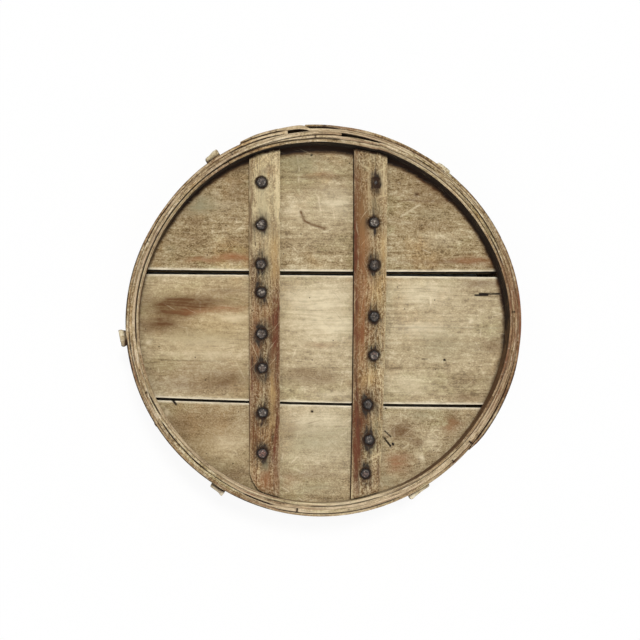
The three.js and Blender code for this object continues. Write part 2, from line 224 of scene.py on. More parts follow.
def lap_bulge(lap, thickness, angle, fade=0):
    """How far a lap pushes the far face of its ply out."""
    past = np.mod(angle - lap["at"], 360)
    end = lap_marks(lap)[2]
    inside = np.minimum(past, end)
    bulge = tail_lift(lap, thickness, inside) + tail_thickness(lap, thickness, inside) - thickness
    left = 1 - share(past, end, end + fade) if fade else 0
    return np.where(past <= end, bulge, bulge * left)


def lapped_faces(lap, base, outward, thickness):
    """Where a lapped ply starts and stops, and its inner and outer face at an angle."""
    def faces(angle):
        tail = angle >= lap["at"] + 360
        past = angle - lap["at"] - np.where(tail, 360, 0)
        lift = np.where(tail, tail_lift(lap, thickness, past), 0)
        tail_thick = tail_thickness(lap, thickness, past)
        start_thick = start_thickness(lap, thickness, past)
        near = base + outward * lift
        far = near + outward * np.where(tail, tail_thick, start_thick)
        return np.minimum(near, far), np.maximum(near, far)

    start, _, end = lap_marks(lap)
    return lap["at"] + start, lap["at"] + 360 + end, faces


# Short cuts across the rim: their angle, how dark they are, and where they start and end
rim_cuts = [
    (2.6, 1.8, 236, 241.5), (93.2, 1, 234, 236.9), (104.8, 0.7, 250, 252), (106.5, 0.9, 249.5, 252),
    (112.5, 0.9, 250, 252), (119.8, 1.1, 241, 245), (157, 0.6, 242, 244.5), (202.7, 1.8, 238.6, 242.3),
    (237, 0.4, 238.5, 240.7), (261.5, 1.5, 241, 245.2), (277, 0.6, 242, 243.5),
    (312.2, 1.4, 242.3, 247), (320, 1.5, 241.5, 249), (323, 0.6, 243, 249),
]

# Where the seams between the plies show as dark lines on the rim: from, to and how dark
seam_width = 1.15
liner_seam = [
    (86, 124, 1.2), (124, 187, 0.9), (18, 27, 0.8), (204, 209.5, 1.1), (265, 287, 0.5), (290, 345, 0.3),
    (30, 75, 0.2),
]
wall_seam = [
    (23, 30, 0.9), (29, 38, 1.5), (38, 46, 0.7), (54, 60, 0.7), (71, 86, 0.6), (86, 97, 0.15),
    (213, 221, 1.2), (221, 226, 0.8), (226, 232, 1.2), (232, 245, 0.4), (245, 253.5, 1.2),
    (143, 157, 0.3),
]
hoop_seam = [
    (103.5, 119.5, 1.2), (143, 158, 0.6), (184, 190, 0.7), (255, 292, 0.6), (190, 200, 0.4),
]
wrap_seam = [(50, 86, 0.2), (86, 96, 0.9), (322, 341, 1.2), (341, 350, 0.4), (-10, 20, 0.2)]
# Where the outer edge of the rim is painted dark, as shade from the outer side: from, to and how dark
shaded_outer_spans = [
    (158, 183, 0.8), (186, 196, 1.1), (196, 236, 0.7), (240, 254, 0.6), (318, 347, 0.9), (10, 50, 0.3),
]


def ply_section(rows, over=10):
    """A ply's section as shares of its thickness and height, from the middle of its lower edge."""
    rise, cross = np.linspace(0, 1, rows), np.linspace(0, 1, over)[1:-1]
    rise = np.concatenate([[0, 0.006], rise[1:-1], [0.994, 1]])
    across = np.concatenate([0 * rise, cross, 1 + 0 * rise, cross[::-1]])
    up = np.concatenate([rise, 1 + 0 * cross, rise[::-1], 0 * cross])
    return np.roll(across, over // 2 - 1), np.roll(up, over // 2 - 1)


def within(angle, spans, soft=1.5):
    """How strongly something shows at each angle: spans of start, end and strength."""
    shown = 0 * angle
    for start, end, strength in spans:
        past = np.mod(angle - start + 20, 360) - 20
        span = share(past, -soft, soft) * share(past, end - start + soft, end - start - soft)
        shown = np.maximum(shown, strength * span)
    return shown


ply_step = 0.5
cut_width = 0.26


def bent_ply(name, start, stop, faces, low, high, rows, seed, seams, masks, hidden, worn=0.5):
    """A bent strip with rounded and chipped edges, whose grain runs round the measure.

    Each pair, seams and hidden, is for the face towards the axis and the one away from it: where
    its seam shows on the rim, and 1 where the face lies against the next ply and is painted dark
    as shade between the plies.
    """
    turns = np.linspace(start, stop, round((stop - start) / ply_step) + 1)
    beside_cuts = [
        at + turn + off
        for at, *_ in rim_cuts
        for turn in (-360, 0, 360)
        for off in (-0.3, -0.12, 0.12, 0.3)
        if start < at + turn + off < stop
    ]
    angle = np.unique(np.concatenate([turns, beside_cuts]))[:, None]
    across, up = ply_section(rows)
    inner, outer = faces(angle)
    crown = np.abs(2 * across - 1) ** 4 * (0.55 + 0.45 * ripple(angle / 8, seed + 4 * across, seed + 6))
    wavy = 0.35 * worn * (1 + ripple(angle / 7, seed + 0 * across, seed))
    chips = 4 * np.maximum(0, ripple(angle / 1.9, 3 * across, seed + 1) - 0.62) * (0.3 + crown)
    groove = 0.3 * worn * np.abs(ripple(angle / 9, 5 * across, seed + 2))
    top = high - worn * crown - wavy - (chips + groove)
    bottom = low + worn * crown + 0.5 * (wavy + chips)
    z = mix(bottom, top, up)
    relief = 0.12 * (1 + ripple(angle / 6, z / 1.7, seed + 3))
    relief += 0.1 * (1 + ripple(angle / 14, z / 6, seed + 4))
    tight = share(top - z, 1.5, 7) * share(z - bottom, 1.5, 7)
    opened = np.where(across < 0.5, within(angle, seams[0]), within(angle, seams[1]))
    edge = spot(z - bottom, worn) + spot(z - top, worn)
    touching = np.where(across < 0.5, hidden[0], hidden[1])
    shaved = relief * tight + 0.35 * edge * opened - 0.2 * touching + 0.08
    on_face = np.abs(2 * across - 1) > 0.99
    depth = mix(inner, outer, across) + shaved * (1 - 2 * across) * on_face
    reach = placed(depth, angle)
    turn = np.radians(angle)
    rim = (up == 1) | (up == 0)
    faint = 0.1 + 0.3 * ripple(angle / 5, seed + 0 * across, seed + 5)

    def seam(spans, away):
        return np.maximum(faint, 1.7 * within(angle, spans)) * np.maximum(0, 1 - away / seam_width)

    dirt_and_shade = rim * (seam(seams[0], depth - inner) + seam(seams[1], outer - depth))
    # Faces that lie against the next ply are painted dark, as shade between the plies
    dirt_and_shade = dirt_and_shade + ~rim * ((across < 0.5) * hidden[0] + (across > 0.5) * hidden[1])
    for at, strength, near, far in rim_cuts:
        cut = spot(np.mod(angle - at + 180, 360) - 180, cut_width)
        cut_ends = share(depth, near - 0.5, near) * share(depth, far + 0.5, far)
        dirt_and_shade = dirt_and_shade + rim * strength * cut * cut_ends
    own = {mask: values(angle, z, across, up) for mask, values in masks.items()}
    own["dirt_and_shade"] = dirt_and_shade + own.get("dirt_and_shade", 0)
    rings = (reach * np.cos(turn), reach * np.sin(turn), z)
    return skin(name, rings, (turn * inside_radius, z, depth + 400 * seed), own)


def paint(red, green, blue):
    """A colour given by its screen values from 0 to 255."""
    linear = [((value / 255 + 0.055) / 1.055) ** 2.4 for value in (red, green, blue)]
    return (*linear, 1)


class Finish:
    """A material whose nodes are added and wired one after another."""

    def __init__(self, name):
        self.material = bpy.data.materials.new(name)
        self.material.use_nodes = True
        self.tree = self.material.node_tree
        self.shader = self.tree.nodes["Principled BSDF"]

    def add(self, kind, sockets, output=0, **settings):
        node = self.tree.nodes.new("ShaderNode" + kind)
        for setting, value in settings.items():
            setattr(node, setting, value)
        for socket, value in sockets.items():
            self.feed(node.inputs[socket], value)
        return node.outputs[output]

    def feed(self, socket, value):
        if isinstance(value, bpy.types.NodeSocket):
            self.tree.links.new(value, socket)
        else:
            socket.default_value = value

    def mask(self, name):
        return self.add("Attribute", {}, "Fac", attribute_name=name)

    def grain(self):
        return self.add("Attribute", {}, "Vector", attribute_name="grain")

    def math(self, operation, first, second, limited=False):
        return self.add("Math", {0: first, 1: second}, operation=operation, use_clamp=limited)

    def plus(self, first, second):
        return self.math("ADD", first, second)

    def times(self, first, second, limited=False):
        return self.math("MULTIPLY", first, second, limited)

    def noise(self, place, stretch, detail=3, roughness=0.55):
        scaled = self.add("VectorMath", {0: place, 1: stretch}, operation="MULTIPLY")
        sockets = {"Vector": scaled, "Scale": 1, "Detail": detail, "Roughness": roughness}
        return self.add("TexNoise", sockets)

    def between(self, value, low, high, bottom=0, top=1):
        sockets = {0: value, 1: low, 2: high, 3: bottom, 4: top}
        return self.add("MapRange", sockets, interpolation_type="SMOOTHSTEP")

    def blend(self, part, under, over, how="MIX"):
        return self.add("Mix", {0: part, 6: under, 7: over}, 2, data_type="RGBA", blend_type=how)

    def ramp(self, value, stops):
        node = self.tree.nodes.new("ShaderNodeValToRGB")
        self.feed(node.inputs[0], value)
        while len(node.color_ramp.elements) < len(stops):
            node.color_ramp.elements.new(1)
        for element, (place, colour) in zip(node.color_ramp.elements, stops):
            element.position = place
            element.color = colour
        return node.outputs[0]


scratch_weight = 0.35
wood_relief = 0.0005


def wood_finish(name, tones, stains, strands=0.0, ragged=1.0, contrast=1.0, speck=620):
    """Old bare wood: tones run from dark to pale, and each stain has a mask, a colour and a weight."""
    wood = Finish(name)
    grain = wood.grain()
    tones = [paint(*tone) for tone in tones]
    wander = wood.times(wood.noise(grain, (5, 20, 20), 2), 0.03)
    shift = wood.add("CombineXYZ", {1: wander})
    lines = wood.add("VectorMath", {0: grain, 1: shift}, operation="ADD")
    bands = wood.noise(lines, (3, 55, 55), 3)
    streaks = wood.noise(lines, (12, 300, 300), 5, 0.6)
    fibres = wood.noise(lines, (60, 1100, 1100), 3)
    patches = wood.noise(grain, (14, 26, 26), 4, 0.6)
    blotches = wood.noise(grain, (70, 110, 110), 5, 0.7)
    grit = wood.noise(grain, (420, 520, 520), 3, 0.7)
    mottle = wood.noise(grain, (170, 240, 240), 4, 0.7)
    layers = [
        (bands, 0.25), (streaks, 0.45), (fibres, 0.5), (patches, 0.7), (blotches, 0.8), (mottle, 0.9),
        (grit, 1.1),
    ]
    if strands:
        layers.append((wood.noise(lines, (5, 520, 520), 4, 0.65), strands))
    tone = 0.5
    for layer, weight in layers:
        tone = wood.plus(tone, wood.times(wood.plus(layer, -0.5), weight * contrast))
    places = np.linspace(0.22, 0.78, len(tones)).tolist()
    colour = wood.ramp(tone, list(zip(places, tones)))
    cool = wood.between(wood.noise(grain, (11, 17, 17), 4, 0.65), 0.48, 0.7, 0, 0.8)
    warm = wood.between(wood.noise(grain, (17, 13, 13), 4, 0.65), 0.5, 0.7, 0, 0.8)
    colour = wood.blend(cool, colour, (0.86, 0.93, 0.78, 1), "MULTIPLY")
    colour = wood.blend(warm, colour, (1.0, 0.86, 0.68, 1), "MULTIPLY")
    speckle = wood.noise(grain, (speck, speck, speck), 2, 0.6)
    for edge, tint in ((0.62, tones[0]), (0.38, tones[-1])):
        fleck = wood.times(wood.mask("rough"), wood.between(speckle, 0.5, edge, 0, 0.8))
        colour = wood.blend(fleck, colour, tint)
    along_grain = wood.between(streaks, 0.3, 0.7, 1 - 0.5 * ragged, 1 + 0.45 * ragged)
    all_over = wood.between(blotches, 0.3, 0.7, 1 - 0.4 * ragged, 1 + 0.4 * ragged)
    breakup = wood.times(along_grain, all_over)
    for mask, tint, weight in stains:
        part = wood.times(wood.mask(mask), breakup)
        colour = wood.blend(wood.times(part, weight, True), colour, paint(*tint))
    if strands:
        off_middle = wood.plus(wood.noise(lines, (4, 210, 210), 2), -0.5)
        drift = wood.add("Math", {0: off_middle}, operation="ABSOLUTE")
        crack = wood.between(drift, 0.004, 0.016, 0.8, 0)
        crack = wood.times(crack, wood.between(blotches, 0.4, 0.6))
        colour = wood.blend(crack, colour, paint(62, 42, 27))
    for turn, picked in ((25, -1), (-38, -1), (8, -1), (50, 0), (-15, 0)):
        sockets = {"Vector": grain, "Location": (turn, turn, 0), "Rotation": (0, 0, math.radians(turn))}
        scores = wood.noise(wood.add("Mapping", sockets), (26, 560, 3), 2)
        scratched = wood.between(scores, 0.66, 0.76, 0, scratch_weight)
        colour = wood.blend(scratched, colour, tones[picked])
    cells = {"Vector": grain, "Scale": 75.0}
    specks = wood.add("TexVoronoi", cells, "Distance")
    rare = wood.add("TexVoronoi", cells, "Color")
    dot = wood.times(wood.between(specks, 0.05, 0.1, 1, 0), wood.between(rare, 0.62, 0.66))
    colour = wood.blend(wood.times(dot, 0.75), colour, paint(58, 42, 28))
    # Real dirt, and painted shade where parts meet, along shaded edges and round nails
    dirt_and_shade = wood.times(wood.mask("dirt_and_shade"), wood.between(blotches, 0.3, 0.7, 0.7, 1.25))
    colour = wood.blend(wood.times(dirt_and_shade, 0.95, True), colour, paint(42, 24, 10))
    wood.feed(wood.shader.inputs["Base Color"], colour)
    wood.feed(wood.shader.inputs["Roughness"], wood.between(streaks, 0.3, 0.7, 0.95, 0.78))
    wood.shader.inputs["Specular IOR Level"].default_value = 0.25
    height = wood.plus(streaks, wood.times(fibres, 0.5))
    bump = wood.add("Bump", {"Strength": 0.7, "Distance": wood_relief, "Height": height})
    wood.feed(wood.shader.inputs["Normal"], bump)
    return wood.material


wall_wood = wood_finish(
    "weathered_wall_wood",
    [(106, 86, 57), (171, 151, 113), (196, 177, 139), (230, 215, 184)],
    [
        ("pale", (210, 188, 154), 0.9),
        ("red", (126, 88, 60), 0.75),
        ("brown", (106, 80, 50), 0.9),
    ],
    strands=1.3, contrast=1.2,
)


def reddish(angle, z, across, up):
    """Reddish streaks that run round the measure, most of them at the right."""
    streaked = ripple(angle / 14, across * 3, 5) + 0.5 * ripple(angle / 5, across * 5, 6)
    wide = along(reddest, angle) * (1 + 0.3 * ripple(angle / 4, across * 4, 7))
    return 0.7 * np.clip(streaked, 0, 1) + wide


reddest = [
    (-40, 0.1), (-18, 0.7), (8, 0.8), (16, 0.5), (26, 0), (112, 0), (120, 0.4), (132, 0.3), (150, 0.15),
    (200, 0.25), (250, 0.2), (262, 0),
]


def stretches(*spans):
    """A mask for the stretches of a ply that are paler or browner: from, to and how much."""
    def shown(angle, z, across, up):
        return within(angle, spans, 5) * (0.75 + 0.5 * ripple(angle / 5, across * 4, 8))

    return shown


inner_wall_back = inside_radius + wall_thickness
start, stop, faces = lapped_faces(wall_lap, inner_wall_back, -1, wall_thickness)
inner_wall = bent_ply(
    "inner_wall_wood", start, stop, faces, 0, rim_level, rows=16, seed=11,
    seams=(liner_seam, wall_seam), hidden=(0, 1),
    masks={
        "red": reddish,
        "brown": stretches((22, 64, 0.5)),
        "pale": stretches((68, 112, 0.6), (112, 130, 0.8), (150, 186, 1), (240, 345, 1)),
    },
)
dress(inner_wall, "inner_wall", wall_wood)

outer_wall_front = inner_wall_back + ply_gap
outer_wall_back = outer_wall_front + wall_thickness
mouth_hoop_edge, foot_hoop_edge = 43, 91


def outer_wall_faces(angle):
    return outer_wall_front + 0 * angle, outer_wall_back + 0 * angle


# Darker on the wall beside the hoops' edges
def darker_beside_hoops(angle, z, across, up):
    beside_foot = np.exp(-np.abs(z - foot_hoop_edge) / 4)
    return 0.7 * beside_foot + 0.6 * np.exp(-np.abs(z - mouth_hoop_edge) / 3)


outer_wall = bent_ply(
    "outer_wall_wood", outer_wall_joint + outer_wall_joint_half,
    outer_wall_joint + 360 - outer_wall_joint_half, outer_wall_faces, 0, rim_level, rows=26, seed=21,
    seams=(wall_seam, hoop_seam), hidden=(1, 0),
    masks={
        "dirt_and_shade": darker_beside_hoops,
        "red": reddish,
        "brown": stretches((114, 126, 0.45), (158, 174, 0.4)),
        "pale": stretches((66, 112, 0.95), (128, 156, 0.45), (190, 215, 0.35), (248, 345, 0.9)),
    },
)
dress(outer_wall, "outer_wall", wall_wood)


# The hoops and the wrap
# A hoop of thicker bent wood grips the foot and another the mouth, each lapped over its own start
# and tacked. A thin strip is wrapped over part of the foot hoop, and its end has sprung off.

hoop_thickness = 4.2
hoop_lap = {
    "opening": 6.5, "rise": 2.8, "full": 9.5, "thinning": 4.8, "start": 3.4, "tail": 3.9, "end": 2.4,
}
foot_lap = {"at": 95, **hoop_lap}
mouth_lap = {"at": 280, **hoop_lap}
hoop_front = outer_wall_back + ply_gap
wrap_start, wrap_end = -42, 96

hoop_wood = wood_finish(
    "weathered_hoop_wood",
    [(100, 76, 48), (162, 138, 100), (184, 162, 124), (218, 202, 168)],
    [
        ("pale", (206, 184, 150), 0.9),
        ("red", (122, 82, 56), 0.8),
        ("brown", (104, 74, 48), 0.9),
    ],
    strands=1.3, contrast=1.2,
)


def levels(node):
    low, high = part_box(node)
    return low.z * 1000, high.z * 1000


# Painted shade along the outer edge of a ply's top
def shaded_outer_edge(angle, z, across, up):
    return within(angle, shaded_outer_spans) * np.maximum(0, 4 * across - 1.9) * (up == 1)


for node, lap, seed in (("foot_hoop", foot_lap, 31), ("mouth_hoop", mouth_lap, 41)):
    start, stop, faces = lapped_faces(lap, hoop_front, 1, hoop_thickness)
    low, high = levels(node)
    hoop = bent_ply(
        node + "_wood", start, stop, faces, low, high, rows=20, seed=seed,
        seams=(hoop_seam, wrap_seam), hidden=(1, 0),
        masks={
            "red": reddish,
            "brown": stretches((308, 321, 1.1)),
            "pale": stretches((22, 112, 0.75), (90, 95, 1.2), (250, 308, 0.7), (324, 355, 0.9)),
            "dirt_and_shade": shaded_outer_edge,
        },
    )
    dress(hoop, node, hoop_wood)


def wrap_faces(angle):
    lift = share(angle, wrap_end - 10, wrap_end)
    inner = hoop_front + hoop_thickness + ply_gap + lift
    thick = mix(0.6, 2.2, share(angle, wrap_start, wrap_start + 6))
    thicker_start = share(angle, wrap_start, wrap_start + 3) * share(angle, -8, -16)
    return inner, inner + thick + thicker_start


low, high = levels("foot_wrap")
wrap = bent_ply(
    "foot_wrap_wood", wrap_start, wrap_end, wrap_faces, low, high, rows=20, seed=51,
    seams=(wrap_seam, ()), hidden=(1, 0), masks={"red": reddish, "dirt_and_shade": shaded_outer_edge}, worn=0.3,
)
dress(wrap, "foot_wrap", hoop_wood)


# The liner
# A strip of bent wood set on the bottom boards inside the foot, where it holds the boards down
# and stiffens the rim. Its ends meet at the back left. Its face is painted dark at the right and
# the back, as shade with soot.

liner_thickness = 4
liner_joint = 122
liner_joint_half = 0.1
liner_seating = 0.35
liner_wood = wood_finish(
    "weathered_liner_wood",
    [(98, 76, 50), (158, 136, 102), (178, 157, 122), (214, 197, 165)],
    [
        ("pale", (216, 198, 162), 0.9),
        ("red", (118, 80, 55), 0.8),
        ("brown", (100, 70, 42), 0.9),
        # Painted shade on the liner's face, with soot
        ("soot_and_shade", (27, 17, 10), 1.6),
    ],
    strands=1.1,
)


def wall_inside(angle):
    return inside_radius - lap_bulge(wall_lap, wall_thickness, angle, wall_lap_fade)


def liner_inside(angle):
    return wall_inside(angle) - ply_gap - liner_thickness


def liner_faces(angle):
    return liner_inside(angle), wall_inside(angle) - ply_gap


# How dark the liner's face is painted at each angle, as shade with soot, and how brown dirt has made it
liner_soot_and_shade = [
    (-60, 0.05), (-15, 0.1), (0, 0.55), (8, 0.8), (17, 1), (120, 1), (135, 0.8), (150, 0.4), (170, 0.05),
    (280, 0.05),
]
liner_brown = [(222, 0.9), (234, 0), (290, 0), (300, 0.9)]


def front_face(marks):
    return lambda angle, z, across, up: along(marks, angle) * (across < 0.1) * (up < 1)


low, high = levels("foot_liner")
liner = bent_ply(
    "foot_liner_wood", liner_joint + liner_joint_half, liner_joint + 360 - liner_joint_half,
    liner_faces, low - liner_seating, high, rows=14, seed=61,
    seams=((), liner_seam), hidden=(0, 1),
    masks={
        # The face is painted dark, as shade and soot, at the right and the back
        "soot_and_shade": front_face(liner_soot_and_shade),
        "brown": front_face(liner_brown),
        "pale": stretches(
            (38, 82, 0.5), (145, 185, 0.35), (203, 232, 0.55), (232, 294, 1), (294, 308, 0.65),
        ),
        "red": reddish,
    },
)
dress(liner, "foot_liner", liner_wood)


# The bottom boards
# Three sawn softwood boards, side by side inside the wall, which have shrunk apart. Their edges
# along the gaps are worn pale, and old stains, splits and scratches mark them. Their sides in the
# gaps and their deep splits are painted black as shade, and a band along the liner is painted dark
# as shade with some soot.

back_gap = {"middle": (60.6, 61.3, 62.9), "width": (6.3, 5.5, 7.8)}
front_gap = {"middle": (-100.3, -107.3, -109.9), "width": (3.6, 3.4, 4.4)}
board_columns = 400
board_row = 1.1
board_low, board_top = levels("bottom_board_middle")

board_wood = wood_finish(
    "stained_board_wood",
    [(98, 75, 46), (150, 128, 91), (171, 151, 115), (206, 191, 157)],
    [
        ("pale", (222, 207, 174), 0.85),
        ("grey", (146, 138, 108), 0.85),
        ("ochre", (196, 160, 98), 0.8),
        ("brown", (98, 66, 37), 0.95),
        ("red", (148, 98, 62), 0.85),
        ("worn", (234, 222, 194), 0.9),
        # Painted shade in the gaps and splits, and shade with soot along the liner
        ("black_shade_and_soot", (24, 15, 9), 1.4),
    ],
    ragged=0.5,
)

# Old stains by colour: place, half length along the grain, half width and strength
back_stains = {
    "pale": [
        (-9, 150, 60, 60, 0.3), (-131, 148, 15, 6, 0.3), (-139, 164, 5, 3, 0.5),
        (-37, 143, 12, 12, 0.35), (19, 153, 21, 18, 0.55), (154, 107, 23, 8, 0.3),
    ],
    "red": [
        (-118, 81, 24, 4.5, 0.9), (-156, 76, 22, 3.2, 0.7), (-7, 190, 21, 2, 0.4),
        (199, 81, 26, 5, 0.7),
    ],
    "brown": [
        (-152, 78, 58, 2.6, 0.4), (-113, 171, 15, 21, 0.35), (-167, 128, 13, 9, 0.35),
        (-172, 105, 28, 6, 0.25), (-119, 131, 9, 4, 0.3), (-110, 103, 10, 5, 0.3),
        (-15, 187, 26, 2.6, 0.5), (22, 188, 21, 2.4, 0.4), (-9, 89, 34, 1.8, 0.35),
        (-9, 170, 39, 8, 0.2), (141, 173, 39, 21, 0.3), (127, 159, 36, 2, 0.5),
        (123, 167, 2.6, 2.6, 0.7), (193, 80, 34, 6, 0.6), (140, 78, 41, 3, 0.4),
        (134, 126, 34, 6, 0.25),
    ],
    "grey": [
        (-158, 148, 16, 12, 1.1), (-120, 205, 20, 14, 0.5), (-195, 90, 10, 6, 0.4),
        (-30, 205, 28, 12, 0.6), (141, 140, 26, 6, 0.3),
    ],
}
middle_stains = {
    "ochre": [(-150, 0, 90, 60, 0.3)],
    "grey": [(-165, -22, 60, 13, 0.5), (153, -31, 39, 18, 0.45)],
    "brown": [
        (-160, -68, 75, 24, 0.3), (-190, 16, 32, 12, 1.5), (-207, -7, 26, 9, 1.0),
        (-150, 22, 44, 9, 0.7), (-123, 38, 26, 5, 0.5), (-125, -76, 18, 8, 0.5),
        (-158, -84, 57, 9, 0.35), (-9, -73, 34, 9, 0.5), (-30, -65, 21, 4, 0.4),
        (206, 50, 23, 7, 0.55), (222, -31, 10, 10, 0.55), (189, -98, 15, 5, 0.55),
        (192, -76, 28, 7, 0.3),
    ],
    "pale": [
        (-5, 0, 60, 70, 0.3), (160, 10, 70, 60, 0.15), (-112, 2, 18, 6, 0.6), (-152, -29, 41, 9, 0.55),
        (-223, -29, 2.6, 2.6, 0.8), (-158, -45, 57, 5, 0.5), (-7, 27, 44, 18, 0.5),
        (9, -6, 34, 15, 0.6), (9, -97, 31, 5, 0.4), (127, 38, 34, 15, 0.5), (127, -11, 31, 10, 0.6),
        (113, -83, 28, 13, 0.45), (194, -1, 5, 2.6, 0.7),
    ],
    "red": [(-125, 14, 31, 4, 0.6), (-163, 10, 26, 4, 0.5), (-4, -33, 18, 4.5, 0.35)],
}
front_stains = {
    "ochre": [(-150, -150, 70, 50, 0.25)],
    "brown": [
        (-150, -135, 75, 34, 0.3), (-178, -128, 15, 20, 0.2), (-138, -125, 26, 10, 0.15),
        (-111, -196, 21, 10, 0.45), (-40, -141, 10, 12, 0.3), (-17, -198, 34, 10, 0.35),
        (102, -142, 14, 10, 0.8), (167, -130, 10, 12, 0.7), (120, -157, 8, 7, 0.6),
        (98, -179, 15, 12, 0.4),
    ],
    "grey": [
        (-128, -186, 26, 14, 0.4), (-151, -153, 18, 10, 0.3), (-4, -154, 39, 20, 0.5),
        (-7, -215, 28, 6, 0.5), (126, -121, 21, 9, 0.5), (86, -205, 13, 8, 0.5),
    ],
    "pale": [
        (-5, -150, 60, 50, 0.45), (-202, -119, 2.6, 6, 0.9), (-122, -158, 21, 15, 0.45),
        (-9, -128, 44, 12, 0.45), (126, -177, 5, 5, 0.8), (139, -156, 13, 10, 0.4),
        (152, -108, 28, 5, 0.4),
    ],
    "red": [(-43, -204, 13, 8, 0.3), (168, -133, 8, 10, 0.5), (96, -183, 13, 12, 0.8)],
}

# Marks cut into the boards: from, to, half width and depth. Splits are painted dark, as shade in them,
# and scratches pale.
splits = [
    ((200, 35), (217, 35), 0.9, 1.2), ((206, 37), (232, 37), 0.9, 1.2), ((84, -8), (233, -8), 0.6, 0.12),
    ((129, -49), (137, -48.5), 0.5, 0.8), ((80, -142), (88, -149.5), 0.6, 1.5),
    ((79, -150.5), (87.5, -161.5), 0.9, 2.2),
    ((-192, -103), (-188, -108), 1.2, 1.5), ((-209, -52), (-125, -53), 0.6, 0.1),
    ((-15.5, 216), (-14.5, 216), 1.0, 1.2), ((-14.6, -117), (-13.6, -117), 1.1, 2.0),
    ((158.5, -50), (159.5, -50), 1.0, 2.0), ((90.5, -158.5), (91, -159), 1.3, 2.0),
    ((81, -113), (82, -113), 0.7, 1.0), ((122, 167), (124, 167), 1.2, 0.5),
]
scratches = [
    ((102, 137), (127, 153), 0.8, 0.3), ((-158, 22), (-158, 11), 0.9, 0.3),
    ((141, 31), (141, 21), 0.8, 0.3),
]
# A soft brown stroke over the back board and the finest pale scratches, as points along each
brown_stroke = ((-29, 141), (-24, 129), (-15, 125), (2, 120))
fine_scratches = [
    ((-18, 180), (-11, 168), (-4, 156)), ((-34, 214), (-31, 197), (-32, 180)),
    ((-6, 168), (-5, 153), (-2, 137)), ((200, -26), (206, -38)), ((-113, -52), (-100, -77)),
    ((-29, 6), (0, 2), (35, -3)), ((-3, -124), (2, -130), (7, -138)), ((-1, -122), (6, -131)),
    ((-43, -188), (-34, -191), (-25, -196), (-20, -191)),
]


def bowed(ends, place):
    """Value at a place from -1 to 1 along a line bowed through three values."""
    first, middle, last = ends
    return middle + (last - first) / 2 * place + ((first + last) / 2 - middle) * place**2


def gap_edge(gap, side):
    """The line of a gap's front edge, where side is -1, or of its back edge, where it is 1."""
    def edge(x):
        place = x / inside_radius
        return bowed(gap["middle"], place) + side * bowed(gap["width"], place) / 2

    return edge


def where_it_ends(radius, line, count):
    """How far each of a number of lines runs from the middle before it meets the outline."""
    near, far = np.zeros(count), np.full(count, 1.1 * inside_radius)
    for _ in range(30):
        half = (near + far) / 2
        x, y = line(half)
        angle = np.degrees(np.arctan2(y, x))
        inside = np.hypot(x, y) < placed(radius(angle), angle)
        near = np.where(inside, half, near)
        far = np.where(inside, far, half)
    return near


def stain_masks(x, y, stains, seed):
    """Each colour's mask over a board: soft patches with ragged ends, longer along the grain."""
    ragged_x = x + 5 * ripple(x / 14, y / 6, seed) + 2 * ripple(x / 5, y / 2.5, seed + 1)
    ragged_y = y + 2.2 * ripple(x / 16, y / 8, seed + 2) + 0.8 * ripple(x / 6, y / 2, seed + 3)
    masks = {}
    for colour, spots in stains.items():
        masks[colour] = 0 * x
        for middle_x, middle_y, length, width, strength in spots:
            away = ((ragged_x - middle_x) / length) ** 2 + ((ragged_y - middle_y) / width) ** 2
            masks[colour] += strength * np.exp(-away)
    return masks


def line_distance(x, y, start, end):
    run = np.array(end) - np.array(start)
    part = np.clip(((x - start[0]) * run[0] + (y - start[1]) * run[1]) / (run @ run), 0, 1)
    return np.hypot(x - start[0] - part * run[0], y - start[1] - part * run[1])


def path_distance(x, y, points):
    return np.min([line_distance(x, y, start, end) for start, end in zip(points, points[1:])], axis=0)


nick_width = 0.6


def nicks(x, y, count, seed):
    """Short pale scratches strewn over a face."""
    strewn = np.random.RandomState(seed)
    shown = 0 * x
    for _ in range(count):
        start = strewn.uniform([x.min(), y.min()], [x.max(), y.max()])
        turn = strewn.uniform(0, math.pi)
        end = start + strewn.uniform(2, 12) * np.array([math.cos(turn), math.sin(turn)])
        cut = spot(line_distance(x, y, start, end), nick_width)
        shown = np.maximum(shown, strewn.uniform(0.2, 0.9) * cut)
    return shown


# How far the painted shadow, with some soot, reaches over the boards from the liner at each angle, and
# how dark it is
shadow_and_soot_width = [
    (-60, -2), (0, 1.3), (15, 1), (30, -0.5), (45, 1.5), (60, 5), (75, 8), (90, 7), (105, 7),
    (120, 3.7), (135, 1.8), (150, 0), (165, -1),
]
shadow_and_soot_strength = [
    (-60, 0.05), (-40, 0.15), (-10, 0.5), (5, 1.1), (140, 1.1), (155, 0.6), (170, 0.15), (185, 0.08),
    (285, 0.05),
]
shadow_and_soot_softness = 3.2
# How deep the boards' rubbed edges go, and by how much their lower edges lean together
edge_depth = 2.5
edge_lean = 1.5


